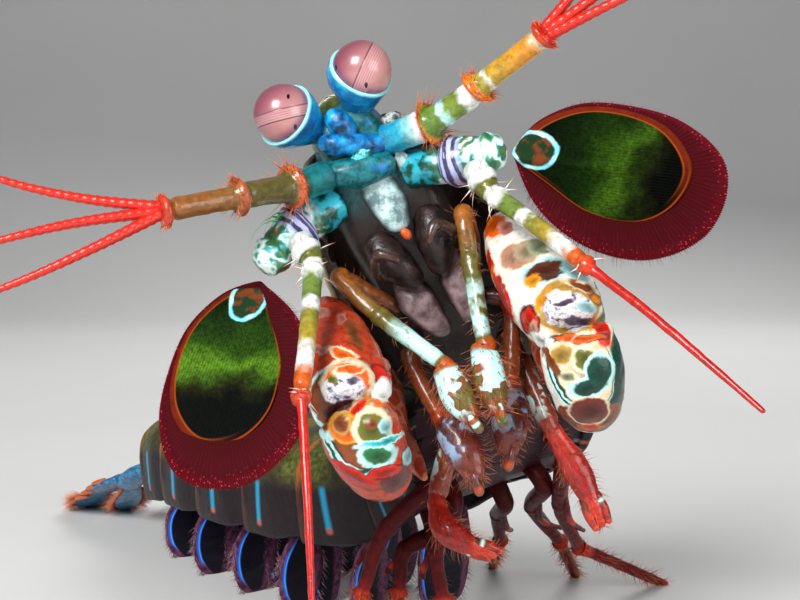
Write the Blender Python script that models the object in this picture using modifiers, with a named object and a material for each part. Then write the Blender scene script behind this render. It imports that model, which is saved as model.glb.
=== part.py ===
"""A peacock mantis shrimp at life size, still, reared up in front with its tail fan on the floor.

Sizes are in millimetres and become metres when a mesh is made. A point of the forebody is given
as (forward, left, up) from the root of the eye stalks, in the head's own directions.
"""

import math

import bmesh
import bpy
import numpy as np
from mathutils import Matrix, Vector

MM = 0.001
GAP = 0.3
THORAX_GAP = 0.55
# The most that a sharp corner may move out, as a share of the gap, when a node is made thicker
SHARPEST_SWELL = 1.6
FLOOR = 0.0
# Corners this near each other, in metres, become one after a Boolean
WELD = 2e-6
# The middle of the footprint under the whole animal, which becomes the origin
FOOTPRINT_CENTRE = Vector((-10.9, 35.4, 0.0))

# Driving dimensions: the pose of the forebody and the line of the body behind it
EYE_ROOT = Vector((-6.0, 0.0, 63.0))
HEAD_FORWARD = Vector((-0.47, -0.342, 0.814)).normalized()
HEAD_LEFT = Vector((0.866, 0.0, 0.5)).normalized()
HEAD_UP = HEAD_FORWARD.cross(HEAD_LEFT)
WORLD_UP = Vector((0.0, 0.0, 1.0))
CARAPACE_END = 33.0
THORAX_STEP = 5.5
ABDOMEN_STEP = 11.0
LAST_SOMITE = 10.0
TELSON_LENGTH = 21.0
BEND = (
    (38.5, (10.8, 13.3, 31.2)),
    (44.0, (10.3, 16.2, 26.7)),
    (49.5, (8.0, 19.9, 23.2)),
    (55.0, (4.4, 23.6, 21.0)),
    (66.0, (-3.5, 31.0, 18.5)),
    (77.0, (-10.5, 39.4, 17.8)),
    (88.0, (-17.3, 48.0, 17.6)),
    (99.0, (-23.3, 57.2, 17.2)),
    (110.0, (-28.2, 67.0, 15.6)),
    (120.0, (-31.6, 76.0, 12.2)),
    (141.0, (-36.5, 93.4, 0.5)),
)

# Driving dimensions: body widths, heights and wall thickness
CARAPACE_WALL = 0.9
CARAPACE_SECTIONS = (
    (1.5, 6.2, 4.0),
    (4.0, 8.0, 5.2),
    (10.0, 9.8, 6.4),
    (18.0, 11.3, 7.0),
    (26.0, 12.6, 7.3),
    (32.7, 12.9, 6.9),
)
CARAPACE_DROP = 2.0
ROSTRAL_HALF_WALL = 0.45
THORAX_HALF_WIDTHS = (12.2, 12.4, 12.7, 13.0)
THORAX_ROOF = 6.6
THORAX_STERNUM = 5.4
ABDOMEN_HALF_WIDTHS = (13.3, 13.9, 14.3, 14.4, 14.0, 12.4)
ABDOMEN_ROOF = 6.9
ABDOMEN_STERNUM = 4.4
ABDOMEN_FLAP = 7.2
TELSON_HALF_WIDTH = 11.0
CORNEA_RADIUS = 3.3
CORNEA_LENGTH = 1.12
SCALE_LENGTH = 18.8
SCALE_HALF_WIDTH = 5.9
SCALE_WALL = 0.8
SETA_LENGTH = 4.2
SETA_PITCH = 1.25
SETA_HALF_WIDTH = 0.62
SETA_HALF_WALL = 0.27
SETA_ROOT = 1.3
# Setae take turns a little above and below the blade's middle
SETA_LIFT = 0.07
# The shortest seta that is made, as a share of the full length
SETA_LEAST = 0.3
OUTLINE_SAMPLES = 400
UROPOD_SETA_LENGTH = 3.0
UROPOD_SETA_PITCH = 1.5
UROPOD_SETA_ROOT = 0.9
PLEOPOD_WALL = 0.8

COLOURS = {
    "shell": ((0.14, 0.20, 0.07, 1.0), 0.35),
    "head": ((0.05, 0.36, 0.42, 1.0), 0.4),
    "stalk": ((0.03, 0.35, 0.55, 1.0), 0.3),
    "cornea": ((0.55, 0.28, 0.34, 1.0), 0.25),
    "antennule": ((0.45, 0.42, 0.12, 1.0), 0.4),
    "lavender": ((0.42, 0.48, 0.62, 1.0), 0.4),
    "scale": ((0.06, 0.20, 0.03, 1.0), 0.3),
    "flagellum": ((0.75, 0.06, 0.03, 1.0), 0.4),
    "claw": ((0.75, 0.62, 0.45, 1.0), 0.3),
    "club": ((0.60, 0.16, 0.06, 1.0), 0.3),
    "jaw_leg": ((0.35, 0.26, 0.10, 1.0), 0.45),
    "leg": ((0.22, 0.05, 0.04, 1.0), 0.45),
    "abdomen": ((0.20, 0.22, 0.08, 1.0), 0.35),
    "fan": ((0.08, 0.16, 0.35, 1.0), 0.35),
    "pleopod": ((0.28, 0.08, 0.20, 1.0), 0.5),
}


# Directions along the body


def head(forward, left, up):
    return EYE_ROOT + HEAD_FORWARD * forward + HEAD_LEFT * left + HEAD_UP * up


def spine_stations():
    straight = [(s, head(-s, 0, 0)) for s in (-6.0, 0.0, 11.0, 22.0, CARAPACE_END)]
    return straight + [(s, Vector(p)) for s, p in BEND]


STATIONS = spine_stations()


def spine(s):
    """A point of the body's centre line, s millimetres behind the eye stalks."""
    k = 1
    while k < len(STATIONS) - 2 and s > STATIONS[k + 1][0]:
        k += 1
    (s0, p0), (s1, p1), (s2, p2) = STATIONS[k - 1], STATIONS[k], STATIONS[k + 1]
    s3, p3 = STATIONS[min(k + 2, len(STATIONS) - 1)]
    t = (s - s1) / (s2 - s1)
    m1 = (p2 - p0) * ((s2 - s1) / (s2 - s0))
    m2 = (p3 - p1) * ((s2 - s1) / (s3 - s1))
    a = 2 * t**3 - 3 * t**2 + 1
    b = t**3 - 2 * t**2 + t
    c = 3 * t**2 - 2 * t**3
    d = t**3 - t**2
    return p1 * a + m1 * b + p2 * c + m2 * d


def body_frame(s):
    """Centre, forward, left and up of the body at s."""
    forward = (spine(s - 0.5) - spine(s + 0.5)).normalized()
    turn = min(max((s - CARAPACE_END) / 33.0, 0.0), 1.0)
    turn = turn * turn * (3 - 2 * turn)
    left = HEAD_LEFT.lerp(WORLD_UP.cross(forward).normalized(), turn)
    left = (left - forward * left.dot(forward)).normalized()
    return spine(s), forward, left, forward.cross(left)


def on_body(s, left, up):
    centre, _, across, rise = body_frame(s)
    return centre + across * left + rise * up


# Making meshes


def material(slot):
    name = slot.replace("_", " ")
    if name in bpy.data.materials:
        return bpy.data.materials[name]
    made = bpy.data.materials.new(name)
    made.use_nodes = True
    colour, roughness = COLOURS[slot]
    shader = made.node_tree.nodes["Principled BSDF"]
    shader.inputs["Base Color"].default_value = colour
    shader.inputs["Roughness"].default_value = roughness
    made.diffuse_color = colour
    return made


def loft(rings):
    """A closed skin over a row of rings of like count, where a ring of one point is a tip."""
    bm = bmesh.new()
    rows = [[bm.verts.new(Vector(p) * MM) for p in ring] for ring in rings]
    for near, far in zip(rows, rows[1:]):
        count = max(len(near), len(far))
        for i in range(count):
            j = (i + 1) % count
            corners = [near[i % len(near)], near[j % len(near)]]
            corners += [far[j % len(far)], far[i % len(far)]]
            bm.faces.new(list(dict.fromkeys(corners)))
    for row in (rows[0], rows[-1]):
        if len(row) > 2:
            bm.faces.new(row)
    bmesh.ops.recalc_face_normals(bm, faces=bm.faces)
    return bm


def oval(centre, across, rise, half_width, half_depth, sides, squareness=2.0):
    ring = []
    for i in range(sides):
        t = 2 * math.pi * (i + 0.5) / sides
        c, s = math.cos(t), math.sin(t)
        x = math.copysign(abs(c) ** (2 / squareness), c) * half_width
        y = math.copysign(abs(s) ** (2 / squareness), s) * half_depth
        ring.append(centre + across * x + rise * y)
    return ring


def limb_rings(stations, wide, sides, first=None, last=None):
    """Rings square to the path through stations of (point, half width, half depth)."""
    rings = []
    points = [station[0] for station in stations]
    for i, (point, half_width, half_depth) in enumerate(stations):
        before = points[max(i - 1, 0)]
        after = points[min(i + 1, len(points) - 1)]
        ahead = (point - before).normalized() + (after - point).normalized()
        if i == 0 and first is not None:
            ahead = first
        if i == len(points) - 1 and last is not None:
            ahead = last
        ahead = ahead.normalized()
        across = (wide - ahead * wide.dot(ahead)).normalized()
        if half_width == 0:
            rings.append([point])
        else:
            rings.append(oval(point, across, ahead.cross(across), half_width, half_depth, sides))
    return rings


def between(p0, p1, p2, p3, t):
    """A point on the smooth curve from p1 to p2, with p0 before and p3 after them."""
    square = 2 * p0 - 5 * p1 + 4 * p2 - p3
    cube = 3 * p1 - p0 - 3 * p2 + p3
    return 0.5 * (2 * p1 + (p2 - p0) * t + square * t**2 + cube * t**3)


def smooth_stations(stations, steps):
    """Extra stations on a smooth curve through the given ones."""
    rows = [np.array([*p, w, h], float) for p, w, h in stations]
    made = []
    for k in range(len(rows) - 1):
        p0, p1, p2 = rows[max(k - 1, 0)], rows[k], rows[k + 1]
        p3 = rows[min(k + 2, len(rows) - 1)]
        for i in range(steps):
            made.append(between(p0, p1, p2, p3, i / steps))
    made.append(rows[-1])
    return [(Vector(r[:3]), max(r[3], 0.0), max(r[4], 0.0)) for r in made]


def forebody(rows):
    """Stations from (forward, left, up, half width, half depth) in the head's directions."""
    return [(head(*row[:3]), row[3], row[4] if len(row) > 4 else row[3]) for row in rows]


def limb(rows, wide, sides=8, steps=1):
    stations = rows if steps == 1 else smooth_stations(rows, steps)
    return loft(limb_rings(stations, wide, sides))


def jointed(rows, wide, sides, joints):
    """One closed length for each stretch between the joints, parted by a thin cut at each joint."""
    points = [row[0] for row in rows]
    pieces = []
    ends = [0, *joints, len(rows) - 1]
    for begin, end in zip(ends, ends[1:]):
        stretch = list(rows[begin : end + 1])
        normals = []
        for index, sign in ((begin, 1), (end, -1)):
            normal = None
            if index in joints:
                before = (points[index] - points[index - 1]).normalized()
                after = (points[index + 1] - points[index]).normalized()
                normal = (before + after).normalized()
                place = 0 if sign == 1 else -1
                point, half_width, half_depth = stretch[place]
                stretch[place] = (point + normal * (sign * GAP / 2), half_width, half_depth)
            normals.append(normal)
        pieces.append(loft(limb_rings(stretch, wide, sides, *normals)))
    return pieces


def ball(centre, axis, radius, stretch):
    """An egg shape drawn out along its axis."""
    bm = bmesh.new()
    bmesh.ops.create_uvsphere(bm, u_segments=14, v_segments=9, radius=radius * MM)
    bmesh.ops.scale(bm, vec=(1, 1, stretch), verts=bm.verts)
    turn = Vector((0, 0, 1)).rotation_difference(axis).to_matrix()
    bmesh.ops.rotate(bm, cent=(0, 0, 0), matrix=turn, verts=bm.verts)
    bmesh.ops.translate(bm, vec=centre * MM, verts=bm.verts)
    return bm


def cut_off(bm, point, normal):
    """Takes away what lies beyond the plane on the side that the normal points to."""
    geometry = list(bm.verts) + list(bm.edges) + list(bm.faces)
    cut = bmesh.ops.bisect_plane(
        bm, geom=geometry, dist=1e-7, plane_co=point * MM, plane_no=normal, clear_outer=True
    )
    edges = [e for e in cut["geom_cut"] if isinstance(e, bmesh.types.BMEdge)]
    if edges:
        bmesh.ops.contextual_create(bm, geom=edges)
        bmesh.ops.recalc_face_normals(bm, faces=bm.faces)
    return bm


def level(bm):
    """Flattens what would reach below the floor."""
    return cut_off(bm, Vector((0, 0, FLOOR)), Vector((0, 0, -1)))


def keep_largest(bm):
    """Drops every closed surface but the largest."""
    bm.verts.ensure_lookup_table()
    seen = set()
    groups = []
    for start in bm.verts:
        if start in seen:
            continue
        group = []
        stack = [start]
        seen.add(start)
        while stack:
            vert = stack.pop()
            group.append(vert)
            for edge in vert.link_edges:
                other = edge.other_vert(vert)
                if other not in seen:
                    seen.add(other)
                    stack.append(other)
        groups.append(group)

    def area(group):
        return sum(face.calc_area() for vert in group for face in vert.link_faces)

    groups.sort(key=area, reverse=True)
    drop = [vert for group in groups[1:] for vert in group]
    bmesh.ops.delete(bm, geom=drop, context="VERTS")
    return bm


def object_from(bm, name, collection):
    mesh = bpy.data.meshes.new(name)
    bm.to_mesh(mesh)
    bm.free()
    made = bpy.data.objects.new(name, mesh)
    collection.objects.link(made)
    return made


def boolean(bm, others, operation):
    """The mesh joined with, or cut by, the others, by one Boolean on a collection."""
    helpers = bpy.data.collections.new("helpers")
    bpy.context.scene.collection.children.link(helpers)
    base = object_from(bm, "base", bpy.context.scene.collection)
    for other in others:
        object_from(other, "helper", helpers)
    modifier = base.modifiers.new("join", "BOOLEAN")
    modifier.operation = operation
    modifier.operand_type = "COLLECTION"
    modifier.collection = helpers
    modifier.solver = "EXACT"
    bpy.context.view_layer.update()
    graph = bpy.context.evaluated_depsgraph_get()
    mesh = bpy.data.meshes.new_from_object(base.evaluated_get(graph))
    result = bmesh.new()
    result.from_mesh(mesh)
    for made in list(helpers.objects) + [base]:
        bpy.data.objects.remove(made)
    bpy.data.collections.remove(helpers)
    bpy.data.meshes.remove(mesh)
    bmesh.ops.remove_doubles(result, verts=result.verts, dist=WELD)
    return keep_largest(result)


def fused(pieces):
    return boolean(pieces[0], pieces[1:], "UNION")


def swollen(made):
    """A copy of a finished node, thicker all round by the gap."""
    bm = bmesh.new()
    bm.from_mesh(made.data)
    bmesh.ops.triangulate(bm, faces=bm.faces)
    bm.normal_update()
    moves = [vert.normal * vert.calc_shell_factor() for vert in bm.verts]
    for vert, move in zip(list(bm.verts), moves):
        vert.co += move.normalized() * min(move.length, SHARPEST_SWELL) * GAP * MM
    return bm


def node(name, bm, slot, clear_of=()):
    """A finished node, cut clear of the nodes that it meets."""
    if clear_of:
        bm = boolean(bm, [swollen(PARTS.objects[other]) for other in clear_of], "DIFFERENCE")
    made = object_from(bm, name, PARTS)
    made.data.materials.append(material(slot))
    made.data.shade_smooth()
    made.data.set_sharp_from_angle(angle=math.radians(45))
    return made


def side_name(side):
    return "L" if side > 0 else "R"


# The body, from the carapace to the telson


def carapace_ring(s, half_width, roof, inset=0.0):
    """Points over the back from the left edge to the right one."""
    ring = []
    start = -math.asin(min(CARAPACE_DROP / roof, 0.9)) * 0.8
    for i in range(15):
        t = start + (math.pi - 2 * start) * i / 14
        x = math.copysign(abs(math.cos(t)) ** 0.85, math.cos(t)) * (half_width - inset)
        y = math.copysign(abs(math.sin(t)) ** 0.9, math.sin(t)) * (roof - inset)
        ring.append(on_body(s, x, y))
    return ring


def carapace():
    bm = bmesh.new()
    rings = [carapace_ring(*section) for section in CARAPACE_SECTIONS]
    rows = [[bm.verts.new(p * MM) for p in ring] for ring in rings]
    for near, far in zip(rows, rows[1:]):
        for i in range(len(near) - 1):
            bm.faces.new((near[i], near[i + 1], far[i + 1], far[i]))
    made = node("carapace", bm, "shell")
    wall = made.modifiers.new("wall", "SOLIDIFY")
    wall.thickness = CARAPACE_WALL * MM
    wall.offset = 1.0
    wall.use_even_offset = True


def head_ring(s, half_width, roof, sternum, base_share):
    """The body under the carapace: its back follows the shell and its belly is narrower."""
    inner = CARAPACE_WALL + GAP * 1.5
    ring = []
    for i in range(11):
        t = math.radians(22) + math.radians(136) * i / 10
        x = math.copysign(abs(math.cos(t)) ** 0.85, math.cos(t)) * (half_width - inner)
        y = abs(math.sin(t)) ** 0.9 * (roof - inner)
        ring.append(on_body(s, x, y))
    low = half_width * base_share
    for x, y in ((-low * 1.12, 0.0), (-low, -sternum * 0.75), (-low * 0.55, -sternum)):
        ring.append(on_body(s, x, y))
    for x, y in ((low * 0.55, -sternum), (low, -sternum * 0.75), (low * 1.12, 0.0)):
        ring.append(on_body(s, x, y))
    return ring


def head_body():
    """The head and the fused fore-thorax, with the mouth on its underside."""
    front = (
        (-2.6, 4.0, 2.6, 1.4, 0.5),
        (-1.6, 5.0, 3.6, 2.6, 0.6),
        (1.5, 6.2, 4.0, 3.6, 0.62),
        (4.0, 8.0, 5.2, 4.2, 0.62),
        (10.0, 9.8, 6.4, 5.4, 0.6),
        (18.0, 11.3, 7.0, 6.0, 0.52),
        (26.0, 12.6, 7.3, 6.0, 0.5),
        (32.4, 12.9, 6.9, 5.6, 0.62),
    )
    core = loft([head_ring(*section) for section in front])
    epistome = loft(
        limb_rings(
            forebody(
                (
                    (-4.0, 0, -2.0, 2.0, 1.2),
                    (-6.2, 0, -4.2, 2.2, 1.6),
                    (-8.8, 0, -5.8, 2.0, 1.6),
                    (-10.9, 0, -7.2, 1.1, 0.9),
                )
            ),
            HEAD_LEFT,
            10,
        )
    )
    jaws = []
    for side in (1, -1):
        rows = (
            (-11.0, side * 3.2, -4.6, 1.6, 1.6),
            (-13.0, side * 2.9, -6.6, 2.2, 1.8),
            (-15.5, side * 1.9, -7.6, 1.6, 1.5),
            (-17.0, side * 1.2, -7.2, 0.9, 0.9),
        )
        jaws.append(limb(forebody(rows), HEAD_LEFT, 8))
        lobe = (
            (-16.5, side * 2.8, -5.0, 1.5, 0.9),
            (-19.0, side * 2.6, -7.4, 2.0, 0.9),
            (-22.0, side * 2.0, -8.2, 1.5, 0.7),
            (-24.0, side * 1.4, -8.0, 0.7, 0.5),
        )
        jaws.append(limb(forebody(lobe), HEAD_LEFT, 8))
    node("head", fused([core, epistome, *jaws]), "head")


def rostral_plate():
    """The small triangular plate in front of the carapace, over the eye stalks."""
    rings = []
    for s, half_width in ((0.9, 3.4), (-0.6, 3.5), (-2.2, 2.6), (-3.6, 1.1)):
        _, _, left, up = body_frame(s)
        rings.append(oval(on_body(s, 0, 3.1 + 0.05 * s), left, up, half_width, ROSTRAL_HALF_WALL, 10))
    node("rostral_plate", loft(rings), "shell", clear_of=("head", "carapace"))


def somite_ring(s, half_width, roof, sternum, flap):
    """One section of a somite: an arched back, side flaps and a belly raised between them."""
    ring = []
    for i in range(11):
        t = math.pi * i / 10
        x = math.copysign(abs(math.cos(t)) ** 0.85, math.cos(t)) * half_width
        ring.append(on_body(s, x, math.sin(t) ** 0.9 * roof if 0 < i < 10 else 0.0))
    shares = ((-0.99, -flap), (-0.86, -flap), (-0.76, -sternum), (-0.28, -sternum))
    under = [(share * half_width, y) for share, y in shares]
    under += [(-x, y) for x, y in reversed(under)]
    return ring + [on_body(s, x, y) for x, y in under]


def thorax():
    for index, half_width in enumerate(THORAX_HALF_WIDTHS):
        start = CARAPACE_END + index * THORAX_STEP + THORAX_GAP / 2
        end = start + THORAX_STEP - THORAX_GAP
        rings = []
        for share, spread in ((0.0, 0.955), (0.45, 1.0), (1.0, 0.985)):
            s = start + (end - start) * share
            rings.append(
                somite_ring(
                    s, half_width * spread, THORAX_ROOF * spread, THORAX_STERNUM * 0.9, THORAX_STERNUM
                )
            )
        node(f"thorax_{index + 5}", loft(rings), "abdomen")


def abdomen():
    begin = CARAPACE_END + 4 * THORAX_STEP
    for index, half_width in enumerate(ABDOMEN_HALF_WIDTHS):
        length = ABDOMEN_STEP if index < 5 else LAST_SOMITE
        start = begin + index * ABDOMEN_STEP + GAP / 2
        end = start + length - GAP
        tail = 0.9 if index == 5 else 1.0
        rings = []
        profile = ((0.0, 0.93, 0.7), (0.3, 0.985, 0.95), (0.75, 1.0, 1.0))
        profile += ((1.0, 0.99 * tail, 0.95 * tail),)
        for share, spread, drop in profile:
            s = start + (end - start) * share
            roof = ABDOMEN_ROOF * spread * (0.86 if index == 5 and share == 1.0 else 1.0)
            flap = ABDOMEN_STERNUM + (ABDOMEN_FLAP - ABDOMEN_STERNUM) * drop
            sternum = ABDOMEN_STERNUM
            if index == 5:
                flap = 5.0 - 1.5 * share
                sternum = 4.2 - 1.2 * share
            rings.append(somite_ring(s, half_width * spread, roof, sternum, flap))
        node(f"abdomen_{index + 1}", level(loft(rings)), "abdomen")


def telson():
    start = CARAPACE_END + 4 * THORAX_STEP + 5 * ABDOMEN_STEP + LAST_SOMITE + GAP / 2
    sections = (
        (0.0, 0.88, 4.6, 2.2),
        (0.3, 1.0, 4.4, 1.7),
        (0.65, 0.97, 3.0, 1.2),
        (0.88, 0.82, 1.8, 0.9),
        (1.0, 0.62, 0.9, 0.6),
    )
    rings = []
    for share, spread, roof, under in sections:
        s = start + (TELSON_LENGTH - 3.0) * share
        ring = []
        for i in range(16):
            t = 2 * math.pi * i / 16
            height = roof if math.sin(t) > 0 else under
            x = math.copysign(abs(math.cos(t)) ** 0.8, math.cos(t)) * TELSON_HALF_WIDTH * spread
            ring.append(on_body(s, x, math.sin(t) * height))
        rings.append(ring)
    plate = loft(rings)
    extras = []
    for side in (1, -1):
        for x, share, length in ((2.6, 0.93, 3.6), (6.4, 0.84, 4.4), (9.6, 0.66, 3.6)):
            s = start + (TELSON_LENGTH - 3.0) * share
            tooth = [
                (on_body(s - 1.5, side * x, 0.2), 1.2, 0.9),
                (on_body(s + 1.0, side * x, 0.1), 1.1, 0.8),
                (on_body(s + length, side * x * 0.97, 0.0), 0.25, 0.25),
            ]
            extras.append(limb(tooth, body_frame(s)[2], 6))
        for x, near, far, rise in ((3.4, 0.1, 0.8, 0.55), (6.6, 0.15, 0.72, 0.9)):
            ridge = []
            for share, half in ((near, 0.5), ((near + far) / 2, 0.9), (far, 0.4)):
                s = start + (TELSON_LENGTH - 3.0) * share
                height = (4.5 - 3.2 * share) * math.sqrt(max(1 - (x / 11.5) ** 2, 0.1))
                ridge.append((on_body(s, side * x, height * 0.93), half, half))
            extras.append(limb(ridge, body_frame(start + 8)[2], 6))
    crest = []
    for share, half in ((0.05, 0.7), (0.35, 1.2), (0.7, 1.0), (0.86, 0.4)):
        s = start + (TELSON_LENGTH - 3.0) * share
        crest.append((on_body(s, 0, 4.6 - 3.2 * share), half, half))
    extras.append(limb(crest, body_frame(start + 8)[2], 6))
    node("telson", level(fused([plate, *extras])), "fan")


# The eyes


EYES = {
    1: ((0.6, 1.5, -0.4), (-4.2, -3.2, 69.1)),
    -1: ((0.6, -2.0, -0.6), (-12.4, -3.4, 64.5)),
}


def eyes():
    for side, (root, centre) in EYES.items():
        centre = Vector(centre)
        base = head(*root)
        axis = (centre - base).normalized()
        rim = centre - axis * (CORNEA_RADIUS * 0.42)
        rows = [
            (base - axis * 1.5, 1.5, 1.5),
            (base + axis * 0.4, 1.9, 1.9),
            (base.lerp(rim, 0.35), 1.7, 1.7),
            (base.lerp(rim, 0.68), 2.7, 2.7),
            (rim - axis * GAP, 3.25, 3.25),
        ]
        name = side_name(side)
        stalk = limb(rows, HEAD_LEFT, 12)
        node(f"eye_stalk_{name}", stalk, "stalk", clear_of=("head", "rostral_plate"))
        cornea = ball(centre, axis, CORNEA_RADIUS, CORNEA_LENGTH)
        node(f"cornea_{name}", cut_off(cornea, rim, -axis), "cornea")


# The antennules and antennae

ANTENNULE_STALKS = {
    1: (
        (-2.2, 3.0, -3.4, 1.8),
        (-2.2, 6.4, -5.2, 1.7),
        (-2.2, 8.2, -6.1, 2.1),
        (-2.0, 9.0, -6.6, 1.5),
        (-1.0, 13.4, -8.4, 1.4),
        (-0.6, 14.3, -8.8, 1.75),
        (-0.3, 15.2, -9.2, 1.2),
        (1.5, 21.3, -12.0, 1.2),
        (1.8, 22.2, -12.4, 1.5),
        (2.0, 22.9, -12.6, 0.8),
    ),
    -1: (
        (-2.0, -4.0, -4.6, 1.8),
        (-0.9, -6.6, -6.6, 1.7),
        (-0.1, -7.9, -7.7, 2.1),
        (0.4, -8.7, -8.4, 1.5),
        (2.7, -12.1, -11.3, 1.4),
        (3.1, -12.8, -11.9, 1.75),
        (3.5, -13.5, -12.2, 1.2),
        (6.1, -18.6, -14.4, 1.2),
        (6.5, -19.4, -14.8, 1.5),
        (6.8, -20.0, -15.0, 0.8),
    ),
}
FLAGELLA = {
    1: (
        ((1.9, 22.4, -12.4), (3.2, 28.7, -14.3), (4.4, 37.5, -15.8), (4.5, 47.4, -16.8)),
        ((1.6, 22.4, -12.7), (2.1, 28.8, -15.6), (2.2, 37.0, -18.6), (1.2, 45.6, -20.8)),
        ((2.1, 22.2, -12.0), (4.6, 28.0, -12.4), (8.0, 35.0, -12.2), (12.0, 41.0, -12.0)),
    ),
    -1: (
        ((6.6, -19.6, -14.8), (10.0, -26.8, -15.5), (12.7, -33.9, -16.7), (15.4, -44.8, -15.8)),
        ((6.5, -19.7, -15.1), (7.6, -26.6, -17.4), (8.8, -34.6, -18.6), (10.6, -44.4, -18.2)),
        ((6.8, -19.3, -14.5), (11.4, -25.6, -13.6), (16.4, -31.0, -12.6), (22.0, -35.4, -11.6)),
    ),
}


def antennules():
    for side, rows in ANTENNULE_STALKS.items():
        stalk = limb(forebody(rows), HEAD_UP, 10)
        whips = []
        for route in FLAGELLA[side]:
            sizes = (0.62, 0.5, 0.38, 0.22)
            stations = [(head(*p), r, r) for p, r in zip(route, sizes)]
            whips.append(limb(stations, HEAD_UP, 5, steps=3))
        name = f"antennule_{side_name(side)}"
        node(name, fused([stalk, *whips]), "antennule", clear_of=("head",))


ANTENNA_BASES = {
    1: (
        (-6.4, 3.6, -3.4, 2.2),
        (-6.9, 7.4, -5.9, 2.3),
        (-7.1, 8.6, -6.8, 2.6),
        (-7.3, 10.6, -8.0, 2.2),
        (-7.6, 12.2, -8.7, 2.0),
        (-8.0, 13.8, -9.3, 1.6),
    ),
    -1: (
        (-5.6, -4.6, -3.6, 2.2),
        (-4.9, -8.4, -5.8, 2.3),
        (-4.9, -9.6, -6.4, 2.6),
        (-5.1, -11.8, -7.6, 2.2),
        (-5.3, -13.4, -8.6, 2.0),
        (-5.5, -15.1, -9.5, 1.6),
    ),
}
ENDOPODS = {
    1: (
        (-7.6, 9.8, -9.4, 1.3),
        (-8.8, 9.9, -11.4, 1.5),
        (-10.1, 10.1, -13.3, 1.1),
        (-13.0, 12.1, -20.2, 0.9),
        (-15.7, 13.7, -27.0, 0.85),
        (-16.5, 14.2, -28.3, 0.5),
        (-20.6, 16.5, -35.2, 0.42),
        (-27.9, 19.7, -45.3, 0.25),
    ),
    -1: (
        (-5.0, -10.2, -8.6, 1.3),
        (-6.2, -9.9, -10.4, 1.5),
        (-7.3, -10.0, -12.4, 1.1),
        (-9.2, -12.7, -21.2, 0.9),
        (-11.9, -16.0, -28.6, 0.85),
        (-12.5, -16.4, -29.9, 0.5),
        (-18.4, -20.0, -36.4, 0.42),
        (-26.7, -25.1, -43.8, 0.25),
    ),
}
# Each scale's hinge, far end and a point on its inner side, as world places
SCALE_PLACES = {
    1: ((12.0, -6.2, 60.2), (33.0, -8.4, 57.6), (22.0, -6.4, 50.0)),
    -1: ((-14.6, -7.8, 46.6), (-20.2, -16.2, 29.7), (-10.4, -13.4, 38.4)),
}
# Round the blade from the hinge: share of the length, share of the half width (outer side positive)
SCALE_OUTLINE = (
    (0.0, 0.10),
    (0.12, 0.62),
    (0.35, 0.98),
    (0.62, 1.0),
    (0.86, 0.72),
    (1.0, 0.08),
    (0.92, -0.62),
    (0.72, -0.98),
    (0.45, -0.88),
    (0.2, -0.45),
    (0.03, -0.12),
)
# How far the fringe of setae stands out at each of those points, as a share of its full length
SCALE_FRINGE = (0.0, 0.05, 0.10, 0.14, 0.35, 0.75, 1.0, 1.0, 0.95, 0.75, 0.1)


def closed_curve(points, count):
    """Points on a smooth closed curve through the given ones."""
    rows = [np.array(p, float) for p in points]
    made = []
    total = len(rows)
    for i in range(count):
        k, t = divmod(i * total / count, 1)
        k = int(k)
        p0, p1, p2, p3 = (rows[(k + j) % total] for j in (-1, 0, 1, 2))
        made.append(between(p0, p1, p2, p3, t))
    return made


def scale_plane(side):
    hinge, tip, inner = (Vector(p) for p in SCALE_PLACES[side])
    along = (tip - hinge).normalized()
    outward = -(inner - hinge)
    outward = (outward - along * outward.dot(along)).normalized()
    return hinge, along, outward


def vane(root, tip, across, facing, half_width, half_wall):
    """One flat tapered vane, still broad past its middle and then drawn to a narrow end."""
    rings = []
    for share, width, wall in ((0.0, 1.0, 1.0), (0.6, 0.86, 0.9), (1.0, 0.25, 0.45)):
        centre = root.lerp(tip, share)
        side = across * (half_width * width)
        rise = facing * (half_wall * wall)
        low, high = centre - rise, centre + rise
        rings.append([low - side, low + side, high + side, high - side])
    return loft(rings)


def scale_outline(count):
    """Points round the blade as (along, outward, fringe share), in millimetres from the hinge."""
    rows = closed_curve([(*p, f) for p, f in zip(SCALE_OUTLINE, SCALE_FRINGE)], count)
    return [(r[0] * SCALE_LENGTH, r[1] * SCALE_HALF_WIDTH, max(r[2], 0.0)) for r in rows]


def scale_solid(side):
    """The oval blade, thin at its rim, with a fringe of flat setae round its inner and far margins."""
    hinge, along, outward = scale_plane(side)
    facing = along.cross(outward)
    half = SCALE_WALL / 2

    def place(u, v, height=0.0):
        return hinge + along * u + outward * v + facing * height

    rows = scale_outline(30)
    middle_u = sum(row[0] for row in rows) / len(rows)
    middle_v = sum(row[1] for row in rows) / len(rows)
    rings = []
    for share, height in ((0.9, -half), (1.0, -0.25), (1.0, 0.25), (0.9, half)):
        ring = []
        for u, v, _ in rows:
            ring.append(place(middle_u + (u - middle_u) * share, middle_v + (v - middle_v) * share, height))
        rings.append(ring)
    pieces = [loft(rings)]
    fine = scale_outline(OUTLINE_SAMPLES)
    travelled = 0.0
    for k in range(len(fine) - 1):
        (u, v, fringe), (next_u, next_v, _) = fine[k], fine[k + 1]
        step = math.hypot(next_u - u, next_v - v)
        travelled += step
        if travelled < SETA_PITCH or fringe < SETA_LEAST:
            continue
        travelled = 0.0
        run = (along * (next_u - u) + outward * (next_v - v)).normalized()
        away = facing.cross(run)
        away = away if away.dot(place(u, v) - place(middle_u, middle_v)) > 0 else -away
        slant = (away + along * 0.25).normalized()
        height = SETA_LIFT if len(pieces) % 2 else -SETA_LIFT
        root = place(u, v, height) - away * SETA_ROOT
        tip = place(u, v, height) + slant * (SETA_LENGTH * fringe)
        pieces.append(vane(root, tip, run, facing, SETA_HALF_WIDTH, SETA_HALF_WALL))
    return fused(pieces)


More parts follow.
